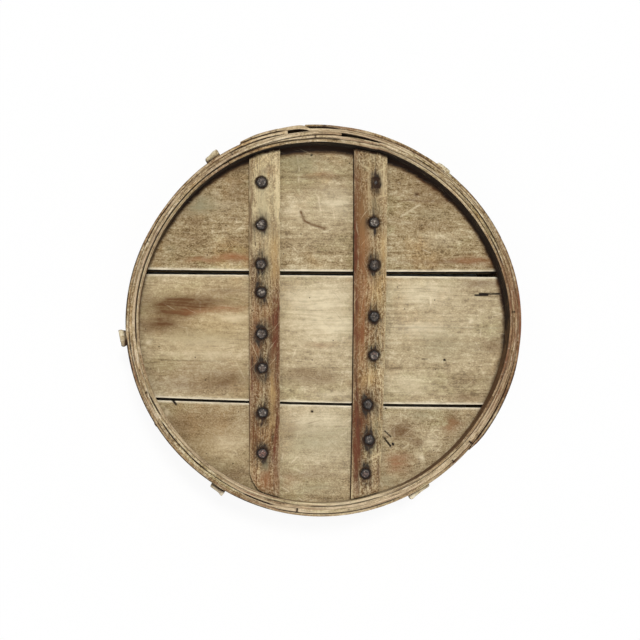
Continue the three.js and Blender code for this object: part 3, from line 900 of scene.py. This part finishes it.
def board(name, node, front, back, gap_sides, stains, seed, paler=0.0, rough=0.0, nicked=30):
    """A board between two lines, cut round at its ends, with rings across it from left to right."""
    rows = int((back(0) - front(0)) / board_row)
    over = np.linspace(0, 1, rows)
    part = np.concatenate([[0], over, [1], over[::-1]])
    level = np.concatenate([[1], 2 + 0 * over, [1], 0 * over])

    def reach(angle):
        return wall_inside(angle) - ply_gap

    left = -where_it_ends(reach, lambda far: (-far, mix(front(-far), back(-far), part)), len(part))
    right = where_it_ends(reach, lambda far: (far, mix(front(far), back(far), part)), len(part))
    x = mix(left, right, np.linspace(0, 1, board_columns)[:, None])
    y = mix(front(x), back(x), part)
    from_front = np.where(gap_sides[0], y - front(x), np.inf)
    from_back = np.where(gap_sides[1], back(x) - y, np.inf)
    from_gap = np.minimum(from_front, from_back)
    angle = np.degrees(np.arctan2(y, x))
    from_liner = placed(liner_inside(angle), angle) - np.hypot(x, y)
    flush = mix(0.2, 1, share(from_liner, 0, 18))
    ground = 0.18 * (1 + ripple(x / 55, y / 1.9, seed)) + 0.15 * (1 + ripple(x / 90, y / 5, seed + 1))
    ground = ground * flush
    cupped = 0.5 * (1 + ripple(x / 160, y / 45, seed + 2)) * flush
    edge = 0.7 * spot(from_gap, 1.3) * (1 + 0.5 * ripple(x / 9, seed + 0 * y, seed + 3))
    masks = stain_masks(x, y, stains, seed + 4)
    # The sides in the gaps are painted black, as shade
    masks["black_shade_and_soot"] = 1.3 * (level == 1) + 0 * x
    dirt_and_shade = 0 * x
    for start, end, width, depth in splits:
        cut = spot(line_distance(x, y, start, end), width)
        # Deep splits are painted black and shallow ones darker, as shade in them
        darkened = masks["black_shade_and_soot"] if depth > 0.9 else dirt_and_shade
        darkened += min(1.3, 0.3 + depth) * cut
        ground += depth * cut
    for start, end, width, depth in scratches:
        cut = spot(line_distance(x, y, start, end), width)
        masks["pale"] += 0.9 * cut
        ground += depth * cut
    masks["brown"] += 0.9 * spot(path_distance(x, y, brown_stroke), 1.9)
    for points in fine_scratches:
        uneven = 0.6 + ripple(x / 4, y / 4, seed + 6)
        masks["pale"] += 0.7 * spot(path_distance(x, y, points), 0.7) * uneven
    top = board_top - 0.1 - ground - cupped - edge
    underside = board_low + 0.2 + 0.3 * ground
    z = np.where(level == 2, top, np.where(level == 1, top - edge_depth, underside))
    masks["worn"] = 1.2 * spot(from_gap, 1.9) * (level == 2) * (1 + 0.4 * ripple(x / 12, y, seed + 5))
    masks["pale"] += paler + nicks(x, y, nicked, seed)
    # A band along the liner is painted dark, as the rim's shadow with some soot, with a brown fringe of
    # painted shade, and painted shade where the boards meet the liner
    shadow_reach, strength = along(shadow_and_soot_width, angle), along(shadow_and_soot_strength, angle)
    ragged_edge = from_liner + 1.2 * ripple(x / 9, y / 9, seed + 7)
    soot_and_shade = strength * share(ragged_edge, shadow_reach + shadow_and_soot_softness, shadow_reach - shadow_and_soot_softness)
    masks["black_shade_and_soot"] += soot_and_shade
    masks["brown"] += 0.7 * strength * spot(ragged_edge - shadow_reach - 1, 3)
    masks["dirt_and_shade"] = dirt_and_shade + 0.5 * soot_and_shade + 0.8 * strength * np.exp(-np.maximum(from_liner, 0) / 1.2)
    masks["pale"] *= 1 - np.clip(masks["black_shade_and_soot"], 0, 1)
    masks["rough"] = rough
    leaning = edge_lean * (level == 0) + edge_lean / 3 * (level == 1)
    y = y + leaning * (gap_sides[1] * share(part, 0.97, 1) - gap_sides[0] * share(part, 0.03, 0))
    piece = skin(name, (x, y, z), (x, y + 300 * seed, z), masks)
    dress(piece, node, board_wood)


back_end = placed(wall_inside(90.0) - ply_gap - 1, 90.0)
front_end = -placed(wall_inside(270.0) - ply_gap - 1, 270.0)
board(
    "back_board_wood", "bottom_board_back", gap_edge(back_gap, 1), lambda x: back_end + 0 * x,
    (True, False), back_stains, seed=71, rough=0.15,
)
board(
    "middle_board_wood", "bottom_board_middle", gap_edge(front_gap, 1), gap_edge(back_gap, -1),
    (True, True), middle_stains, seed=81, paler=0.23,
)
board(
    "front_board_wood", "bottom_board_front", lambda x: front_end + 0 * x, gap_edge(front_gap, -1),
    (False, True), front_stains, seed=91, paler=0.1, rough=0.45, nicked=150,
)


# The battens
# Two planed battens lie across the boards and are nailed through to them. Iron from the nails
# has stained them dark, and their long edges are rubbed round. Their sides, their ends and rings
# round the nails are painted dark as shade.

battens = {
    "left": {"middle": (-76.9, -76.3, -75.3), "width": (39.5, 38.9, 37.8), "corner": 10},
    "right": {"middle": (60.9, 59, 52.9), "width": (43.1, 41.3, 36.5), "corner": 0},
}
batten_reach = inside_radius - 21.9
batten_corner_length = 25
batten_end_gap = 1
batten_rings = 400
batten_rows = 44
batten_low, batten_top = levels("batten_left")

batten_wood = wood_finish(
    "iron_stained_batten_wood",
    [(84, 56, 32), (146, 118, 80), (178, 154, 114), (228, 210, 170)],
    [
        ("pale", (226, 206, 162), 0.9),
        ("brown", (98, 64, 36), 1.0),
        ("rust", (138, 90, 54), 0.9),
        ("ochre", (180, 148, 98), 0.85),
        ("red", (100, 56, 36), 0.95),
        ("grey", (138, 132, 102), 0.8),
        ("iron", (46, 38, 30), 1.2),
    ],
    strands=1.0, contrast=1.25, speck=520,
)

# Stains on the battens by colour: place along and across, half length, half width and strength
batten_stains = {
    "left": {
        "pale": [(150, -77, 80, 22, 0.65), (-38, -70, 7, 3, 0.7), (-60, -63, 18, 1.5, 0.5)],
        "grey": [(150, -77, 70, 18, 0.35), (66, -77, 12, 7, 0.7), (-184, -77, 12, 5, 0.6)],
        "red": [
            (191, -71, 4, 8, 0.6), (60, -90, 18, 6, 0.5), (-10, -61, 60, 6, 1.0),
            (-90, -93, 51, 4, 0.7), (-120, -60, 40, 4, 0.8), (-165, -62, 40, 5, 0.7),
        ],
        "ochre": [
            (88, -64, 22, 7, 0.8), (58, -64, 16, 6, 0.9), (-88, -66, 26, 4, 1.0),
            (-126, -68, 16, 4, 0.7),
        ],
        "brown": [
            (130, -95, 100, 2.5, 0.7), (118, -65, 10, 5, 0.5), (-80, -77, 120, 30, 0.45),
            (-10, -66, 55, 5, 0.35), (-150, -90, 40, 6, 0.5), (-205, -64, 20, 9, 0.4),
        ],
        "rust": [
            (-10, -88, 60, 6, 0.5), (10, -74, 14, 9, 0.5), (-60, -85, 50, 3, 0.4),
            (-150, -78, 14, 12, 0.3), (-205, -77, 16, 19, 0.6),
        ],
    },
    "right": {
        "brown": [
            (0, 43, 220, 6, 0.4), (135, 62, 70, 20, 0.5), (110, 46, 90, 8, 0.6),
            (-20, 62, 16, 18, 0.35), (-125, 58, 44, 22, 0.5), (-150, 41, 44, 6, 0.9),
            (-205, 60, 22, 20, 0.3),
        ],
        "red": [
            (0, 40, 230, 3, 0.55), (110, 42, 90, 3, 0.6), (-22, 45, 10, 7, 0.4),
            (-152, 43, 42, 6, 1.1), (-192, 72, 14, 4, 0.4),
        ],
        "pale": [(170, 74, 30, 6, 0.3), (75, 70, 12, 4, 0.4), (-175, 61, 3, 8, 0.4)],
        "grey": [(205, 60, 14, 22, 0.3), (144, 65, 15, 6, 0.6), (-130, 66, 20, 7, 0.5)],
        "ochre": [
            (140, 60, 66, 24, 0.25), (85, 76, 30, 4, 0.7), (35, 70, 42, 9, 0.6),
            (-76, 57, 12, 13, 0.7),
        ],
        "rust": [
            (95, 52, 50, 8, 0.5), (30, 50, 50, 11, 0.7), (-30, 47, 40, 10, 0.7),
            (-112, 56, 12, 7, 0.6),
        ],
    },
}
# How dark iron has stained the wood above and below each nail, from the back to the front
nail_stains = {
    "left": (0.2, 0.5, 0.8, 0.7, 0.8, 1, 0.8, 0.7),
    "right": (1, 0.7, 0.7, 0.6, 0.7, 0.9, 0.9, 0.6),
}
# How dark each batten's sides are painted, as shade
batten_side_shade = {"left": 0.4, "right": 0.95}
sunken_nail = "batten_nail_right_1"
batten_scratches = [
    ((57, 187), (59, 137)), ((57, 160), (62, 160)), ((69, 159), (80, 162)), ((78, 202), (77, 161)),
    ((46, 111), (63, 117)), ((70, 86), (80, 101)), ((55, 83), (60, 88)), ((50, 201), (59, 196)),
    ((71, 194), (78, 197)), ((57, -179), (74, -169)), ((54, 103), (63, 117)), ((68, 62), (77, 74)),
    ((69, 100), (80, 104)), ((52, -4), (66, 5)), ((60, -64), (56, -88)), ((72, 90), (81, 78)),
    ((55, 60), (60, 44)), ((-70, 160), (-62, 166)), ((-61, 182), (-60, 117)), ((-91, 143), (-88, 125)),
]


def place_of(node):
    """The middle of a solid's box, about the axis, half its width, and the level of its top."""
    low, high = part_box(node)
    middle = np.array(500 * (low + high)) - axis
    return middle[0], middle[1], 500 * (high.x - low.x), high.z * 1000


def nail_nodes(side):
    return [f"batten_nail_{side}_{number}" for number in range(1, 9)]


def batten(side, seed):
    shape = battens[side]
    over = np.linspace(0, 1, batten_rows)
    fall = np.array([0.07, 0.6])
    part = np.concatenate([0 * fall, over, 1 + 0 * fall, over[::-1]])
    level = np.concatenate([1 - fall[::-1], 1 + 0 * over, 1 - fall, 0 * over])
    part, level = np.roll(part, -1), np.roll(level, -1)

    def across(y):
        place = -y / batten_reach
        half = bowed(shape["width"], place) / 2
        past_corner = np.maximum(0, batten_corner_length - batten_reach - y) / batten_corner_length
        middle = bowed(shape["middle"], place)
        return mix(middle - half + shape["corner"] * past_corner**2, middle + half, part)

    def reach(angle):
        return liner_inside(angle) - batten_end_gap

    front = -where_it_ends(reach, lambda far: (across(-far), -far), len(part))
    back = where_it_ends(reach, lambda far: (across(far), far), len(part))
    y = mix(front, back, np.linspace(0, 1, batten_rings)[:, None])
    x = across(y)
    near_end = np.minimum(y - front, back - y)
    width = bowed(shape["width"], -y / batten_reach)
    from_side = (1 - np.abs(2 * part - 1)) * width / 2
    ground = 0.15 * (1 + ripple(y / 50, x / 1.8, seed)) + 0.2 * (1 + ripple(y / 70, x / 7, seed + 1))
    rubbed = 1.9 * spot(from_side, 2.4) * (1 + 0.5 * ripple(y / 11, 3 * part, seed + 2))
    rubbed += 1.2 * spot(near_end, 2)
    masks = stain_masks(y, x, batten_stains[side], seed + 4)
    for start, end in batten_scratches:
        cut = spot(line_distance(x, y, start, end), 1.05)
        masks["pale"] += 1.5 * cut * (0.8 + 0.5 * ripple(x / 5, y / 5, seed + 6))
        ground += 0.4 * cut
    iron, dirt_and_shade = 0 * x, 0 * x
    for node, stained in zip(nail_nodes(side), nail_stains[side]):
        nail_x, nail_y, head, _ = place_of(node)
        away = np.hypot(x - nail_x, y - nail_y)
        smudge = stained * (1.5 + 0.8 * ripple(x / 3, y / 5, seed + 5))
        iron += smudge * spot(x - nail_x, head + 1.5) * spot(y - nail_y, head + 8)
        # A ring of painted shade round each head
        dirt_and_shade += 1.2 * spot(np.maximum(away - head, 0), 1.4 + 0.7 * ripple(x / 4, y / 4, seed + 7))
        ground += 0.7 * np.exp(-((away / (head + 1)) ** 4))
        if node == sunken_nail:
            off_x, off_y = x - nail_x, y - nail_y
            # Its pit is painted dark, as shade in it; a dark spot lies below it, and a pale line along
            # its right side
            hole = share(np.maximum(np.abs(off_x), np.abs(off_y + 0.5) - 1.4), 6.2, 5.2)
            ground += 2 * hole
            dirt_and_shade += 1.3 * hole + 0.9 * spot(off_x - 1, 4) * spot(off_y + 11, 5)
            masks["pale"] += 0.8 * spot(off_x - 7.5, 1.3) * np.exp(-(((off_y + 1) / 9) ** 4))
    z = mix(batten_low + 0 * x, batten_top - 0.05 - ground - rubbed, level)
    bulge = 0.5 * (1 + ripple(y / 30, 4 * level, seed + 3)) * ((level > 0) & (level < 1))
    x = x + bulge * np.where(part < 0.5, 1, -1)
    masks["pale"] += nicks(x, y, 60, seed) + 0.45 * spot(from_side, 1.6) * (level == 1)
    masks["iron"] = iron
    # Painted shade on the sides and the ends, and over the back end where the rim's shadow falls
    masks["dirt_and_shade"] = dirt_and_shade + batten_side_shade[side] * (level < 0.95) + 0.2 * np.exp(-near_end / 1.5)
    masks["dirt_and_shade"] += share(back - y, 4.5, 2)
    masks["rough"] = 0.65
    piece = skin(f"{side}_batten_wood", (x, y, z), (y, x + 300 * seed, z), masks)
    dress(piece, f"batten_{side}", batten_wood)


batten("left", 101)
batten("right", 111)


# The nails
# Sixteen forged nails, each with a hammered head, driven through the battens into the boards.
# One at the back has no head left and lies sunk in the wood. Each head is painted darker towards
# its edge as shade, and some show painted glints.

nail_iron = Finish("forged_nail_iron")
grain = nail_iron.grain()
rust = nail_iron.between(nail_iron.noise(grain, (220, 220, 220), 4), 0.45, 0.7)
pits = nail_iron.noise(grain, (450, 450, 450), 4, 0.7)
colour = nail_iron.blend(rust, paint(78, 68, 56), paint(68, 53, 41))
colour = nail_iron.blend(nail_iron.mask("red"), colour, paint(112, 74, 60))
colour = nail_iron.blend(nail_iron.between(pits, 0.46, 0.56), colour, paint(32, 25, 19))
# Pale patches that are bare iron and also painted glints
bare_iron_and_glints = nail_iron.between(nail_iron.noise(grain, (300, 300, 300), 2), 0.56, 0.64, 0, 0.75)
colour = nail_iron.blend(bare_iron_and_glints, colour, paint(160, 150, 136))
# Dirt, and the painted shade at each head's edge
colour = nail_iron.blend(nail_iron.mask("dirt_and_shade"), colour, paint(20, 15, 11))
nail_iron.feed(nail_iron.shader.inputs["Base Color"], colour)
nail_iron.shader.inputs["Metallic"].default_value = 0.15
nail_iron.shader.inputs["Specular IOR Level"].default_value = 0.4
nail_iron.feed(nail_iron.shader.inputs["Roughness"], nail_iron.between(pits, 0.35, 0.6, 0.16, 0.5))
bump = nail_iron.add("Bump", {"Strength": 0.8, "Distance": 0.001, "Height": pits})
nail_iron.feed(nail_iron.shader.inputs["Normal"], bump)


def forged_head(head, dome, under, seed, turn):
    """A hammered head about its own middle: rings from its underside to its top."""
    around = np.radians(np.arange(0, 360, 15))
    spread = np.array([0.55, 0.9, 1.0, 0.98, 0.92, 0.8, 0.62, 0.4, 0.15])[:, None]
    height = np.array([-under, -under * 0.4, 0.1, 0.4, 0.66, 0.84, 0.93, 0.98, 1.0])[:, None]
    height = np.where(height > 0, height * dome, height)
    flats = 1 - 0.09 * np.abs(np.cos(2.5 * around + turn))
    flats = flats - 0.07 * ripple(around * 1.6, seed + 0 * around, seed)
    over_x, over_y = spread * 2.2 * np.cos(around), spread * 2.2 * np.sin(around)
    dents = 0.42 * dome * ripple(2 + over_x, 2 + over_y, seed + 1) * (height > 0) * (1.1 - spread)
    reach = head * spread * flats
    return reach * np.cos(around), reach * np.sin(around), height + dents


# How red and how dark the heads are that differ from the rest
rusty_nails = {"batten_nail_left_8": 0.9, "batten_nail_right_8": 0.7, "batten_nail_right_5": 0.4}
dark_nails = {
    "batten_nail_right_1": 0.7, "batten_nail_right_4": 0.3, "batten_nail_right_6": 0.35,
    "batten_nail_right_7": 0.5, "batten_nail_right_8": 0.35, "batten_nail_left_7": 0.15,
}

# How wide a head is against its solid and how deep it sits, for most nails and for the sunken one
nail_heads = (0.98, 0.4)
sunken_head = (0.6, 2.2)
nail_under = 3

for side in battens:
    for number, node in enumerate(nail_nodes(side), 1):
        x, y, head, top = place_of(node)
        seed = 200 + 10 * number + len(side)
        dome = top - batten_top - ply_gap
        size, depth = sunken_head if node == sunken_nail else nail_heads
        head_x, head_y, head_z = forged_head(head * size, dome, nail_under, seed, seed)
        from_middle = np.hypot(head_x, head_y) / head
        wobble = 0.05 * ripple(head_x / 3, head_y / 3, seed + 2)
        # Each head is painted darker towards its edge, as shade, and some heads darker all over
        dirt_and_shade = 0.3 * share(from_middle, 0.3, 0.7) + share(from_middle + wobble, 0.6, 0.84)
        masks = {"dirt_and_shade": dirt_and_shade + dark_nails.get(node, 0), "red": rusty_nails.get(node, 0.1)}
        rings = (x + head_x, y + head_y, batten_top - depth + head_z)
        piece = skin(node.replace("batten_nail", "forged_nail"), rings, rings, masks, 35)
        dress(piece, node, nail_iron.material)


# The pegs
# Split wooden pegs driven from outside through the foot hoop and the walls into the boards' edges.
# Each was knocked in as far as it would go and left proud of the hoop, its end bruised. Painted
# shade darkens each along the hoop and down its sides, and two are painted paler as light.

peg_wood = wood_finish(
    "split_peg_wood",
    [(136, 114, 80), (198, 180, 144), (216, 202, 168), (236, 226, 198)],
    [("pale", (240, 230, 204), 0.8), ("brown", (104, 76, 48), 0.9)],
)


def solid_points(node):
    """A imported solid's points in millimetres about the axis."""
    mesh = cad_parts[node].data
    points = np.empty(3 * len(mesh.vertices))
    mesh.vertices.foreach_get("co", points)
    return points.reshape(-1, 3) * 1000 - axis


def facing(turn):
    """Unit vectors at a turn about the axis: away from it, and aside."""
    out = np.array([math.cos(turn), math.sin(turn), 0])
    return out, np.array([-out[1], out[0], 0])


def set_out(out, side, reach, across, z):
    """Points a reach away from the axis and so far across that direction."""
    return reach * out[0] + across * side[0], reach * out[1] + across * side[1], z


# Pegs whose ends have spread under the hammer, and pegs painted paler, as painted light where the hoop
# shades them
spread_pegs = {"peg_3": 1.22}
painted_lit_pegs = {"peg_4": 1.0, "peg_5": 0.5}
# How far up each peg the painted shade at its foot reaches
shaded_feet = {"peg_1": 3, "peg_2": 4.5, "peg_3": 0.8, "peg_4": 0.6, "peg_5": 2.5}


def peg(node, seed):
    points = solid_points(node)
    from_axis = np.hypot(points[:, 0], points[:, 1])
    inmost = points[from_axis < from_axis.min() + 1]
    rough = points.mean(axis=0)
    back = inmost[:, 0] * rough[0] + inmost[:, 1] * rough[1]
    aside = inmost[:, 1] * rough[0] - inmost[:, 0] * rough[1]
    lean = np.arctan2(aside, back)
    turn = math.atan2(rough[1], rough[0]) + (lean.min() + lean.max()) / 2
    out, side = facing(turn)
    outward, cross = points @ out, points @ side
    low, high = points[:, 2].min(), points[:, 2].max()
    half, thick = cross.max(), (high - low) / 2
    ends = [outward[np.sign(cross) == sign].max() for sign in (-1, 1)]
    loop = np.radians(np.arange(3.75, 360, 7.5))
    width = np.sign(np.cos(loop)) * np.abs(np.cos(loop)) ** 0.3
    height = np.sign(np.sin(loop)) * np.abs(np.sin(loop)) ** 0.3
    run = np.linspace(0, 1, 40)[:, None]
    end = mix(ends[0], ends[1], (width + 1) / 2)
    reach = mix(outward.min(), end - 0.4, 1 - (1 - run) ** 1.5)
    from_end = end - reach
    taper = 1 - 0.16 * np.exp(-np.maximum(from_end, 0) / 0.9)
    taper = taper - 0.03 * (1 + ripple(reach / 9, width * 3 + 5, seed))
    split = 1 - 0.1 * (1 + ripple(reach / 25, 4 * loop, seed + 1)) / 2
    split = split * mix(1, spread_pegs.get(node, 1), np.exp(-np.maximum(from_end - 4, 0) / 3))
    w, h = width * half * taper * split, height * thick * taper * split
    dents = 0.8 * ripple(w / 4 + 9, h / 4 + 9, seed + 2) * np.exp(-from_end / 3)
    reach = reach - 0.8 - dents
    rings = set_out(out, side, reach, w, h + (low + high) / 2)
    # Painted shade along the hoop at each peg's foot, with a brown fringe, and down its sides; each is
    # darker towards its end
    unshaded_from = hoop_front + out_of_round(math.degrees(turn)) + 5 + shaded_feet.get(node, 0)
    from_shade = np.maximum(reach - unshaded_from, 0)
    brown = 0.5 * np.exp(-from_shade / 2) + 0.5 * share(ripple(w / 5, h / 5, seed + 3), 0.3, 0.8)
    pale = 0.6 * np.exp(-from_end / 2.5) * (1 + ripple(w / 3, h / 3, seed + 4))
    dirt_and_shade = 1.2 * spot(from_shade, 1.4) + 0.8 * np.exp(-from_end / 0.8)
    dirt_and_shade = dirt_and_shade + 0.6 * share(np.abs(width), 0.97, 1)
    # Some pegs are painted paler, as light that the hoop's shadow takes from them
    masks = {"brown": brown, "pale": pale + painted_lit_pegs.get(node, 0), "dirt_and_shade": dirt_and_shade}
    piece = skin(f"split_{node}", rings, (reach, w, h + 50 * seed), masks, 50)
    dress(piece, node, peg_wood)


for number in range(6):
    peg(f"peg_{number + 1}", 300 + 10 * number)


# The tacks
# Small forged tacks hold the hoops to the wall, close their laps and pin the lap of the wall.
# They show only from the side, as small dark rusty heads.

tack_dome = 0.8
tack_sunk = 0.8
tack_under = 2
tack_nodes = [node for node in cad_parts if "tack" in node]

tack_iron = Finish("rusty_tack_iron")
grain = tack_iron.grain()
rust = tack_iron.between(tack_iron.noise(grain, (400, 400, 400), 4), 0.4, 0.62)
colour = tack_iron.blend(rust, paint(56, 50, 46), paint(110, 68, 42))
tack_iron.feed(tack_iron.shader.inputs["Base Color"], colour)
tack_iron.shader.inputs["Metallic"].default_value = 0.4
tack_iron.feed(tack_iron.shader.inputs["Roughness"], tack_iron.between(rust, 0, 1, 0.5, 0.85))

for number, node in enumerate(tack_nodes):
    points = solid_points(node)
    middle = (points.min(axis=0) + points.max(axis=0)) / 2
    turn = math.atan2(middle[1], middle[0])
    out, side = facing(turn)
    tip = (points @ out).max()
    head = (points[:, 2].max() - points[:, 2].min()) / 2
    across, up, proud = forged_head(head, tack_dome, tack_under, 400 + number, number)
    angle = math.degrees(turn)
    sunk = tack_sunk
    if node.startswith("mouth_tack"):
        sunk = sunk + hoop_back + out_of_round(angle) - placed(hoop_back, angle)
    rings = set_out(out, side, tip - tack_dome - sunk + proud, across, middle[2] + up)
    dress(skin("forged_" + node, rings, rings, {}, 35), node, tack_iron.material)


# The studio
# The measure stands on its mouth on a plain white floor, under a lamp above its back edge and a
# wide soft one from the front. The camera looks down on the foot, a little from the front left.

view_point = np.array([-0.558, -2.998, rim_level]) / 1000
view_direction = np.array([-0.1095, -0.0769, 1.0])
view_distance = 1.75
focal_pixels = 1379
picture_pixels = 640
slide_right, slide_up = -0.0038, 0.0014

view_direction = view_direction / np.linalg.norm(view_direction)
right = np.cross(-view_direction, (0, 1, 0))
right = right / np.linalg.norm(right)
up = np.cross(right, -view_direction)
eye = view_point + view_distance * view_direction + slide_right * right + slide_up * up

camera_data = bpy.data.cameras.new("camera")
camera_data.sensor_width = 36
camera_data.lens = focal_pixels / picture_pixels * camera_data.sensor_width
camera = bpy.data.objects.new("camera", camera_data)
placing = np.eye(4)
placing[:3] = np.stack([right, up, view_direction, eye], 1)
camera.matrix_world = Matrix(placing.tolist())
bpy.context.scene.collection.objects.link(camera)
bpy.context.scene.camera = camera

floor_half = 3
floor_drop = 0.0004
floor_corners = [(floor_half * x, floor_half * y, 0) for x, y in ((-1, -1), (1, -1), (1, 1), (-1, 1))]
floor_mesh = bpy.data.meshes.new("floor")
floor_mesh.from_pydata(floor_corners, [], [(0, 1, 2, 3)])
floor = bpy.data.objects.new("floor", floor_mesh)
floor.location.z = -floor_drop
bpy.context.scene.collection.objects.link(floor)


def seen_directly(tree):
    """1 for what the camera sees, itself or as a reflection, and 0 for all other light."""
    path = tree.nodes.new("ShaderNodeLightPath")
    seen = tree.nodes.new("ShaderNodeMath")
    seen.operation = "MAXIMUM"
    tree.links.new(path.outputs["Is Camera Ray"], seen.inputs[0])
    tree.links.new(path.outputs["Is Glossy Ray"], seen.inputs[1])
    return seen.outputs[0]


# The floor glows white to the camera round the measure, and less than fully, so its shadow stays
floor_glow = 0.9
paper = Finish("white_floor")
paper.shader.inputs["Base Color"].default_value = (0.9, 0.9, 0.9, 1)
paper.shader.inputs["Roughness"].default_value = 0.9
glow = paper.tree.nodes.new("ShaderNodeEmission")
glow.inputs["Color"].default_value = (1, 1, 1, 1)
glow.inputs["Strength"].default_value = 1
lit = paper.tree.nodes.new("ShaderNodeMixShader")
place = paper.add("TexCoord", {}, "Object")
from_middle = paper.add("VectorMath", {0: place}, "Value", operation="LENGTH")
outside = paper.math("GREATER_THAN", from_middle, (inside_radius + 8) / 1000)
shown = paper.times(seen_directly(paper.tree), floor_glow)
paper.feed(lit.inputs[0], paper.times(shown, outside))
paper.feed(lit.inputs[1], paper.shader.outputs[0])
paper.feed(lit.inputs[2], glow.outputs[0])
paper.feed(paper.tree.nodes["Material Output"].inputs[0], lit.outputs[0])
floor_mesh.materials.append(paper.material)

sky_light, sky_seen = 0.26, 1
world = bpy.data.worlds.new("studio")
bpy.context.scene.world = world
world.use_nodes = True
tree = world.node_tree
sky = tree.nodes["Background"]
sky.inputs["Color"].default_value = (1, 1, 1, 1)
strength = tree.nodes.new("ShaderNodeMapRange")
strength.inputs[3].default_value = sky_light
strength.inputs[4].default_value = sky_seen
tree.links.new(seen_directly(tree), strength.inputs[0])
tree.links.new(strength.outputs[0], sky.inputs["Strength"])

# Each lamp: how strong, how wide, and how far it leans towards the back and the right
lamps = [("back_lamp", 1.6, 8, 11, 0), ("front_lamp", 1.06, 60, -12, -8)]
for name, energy, width, back, aside in lamps:
    lamp_data = bpy.data.lights.new(name, "SUN")
    lamp_data.energy = energy
    lamp_data.angle = math.radians(width)
    lamp = bpy.data.objects.new(name, lamp_data)
    lamp.rotation_euler = (math.radians(-back), math.radians(aside), 0)
    bpy.context.scene.collection.objects.link(lamp)

bpy.context.scene.view_settings.view_transform = "Standard"
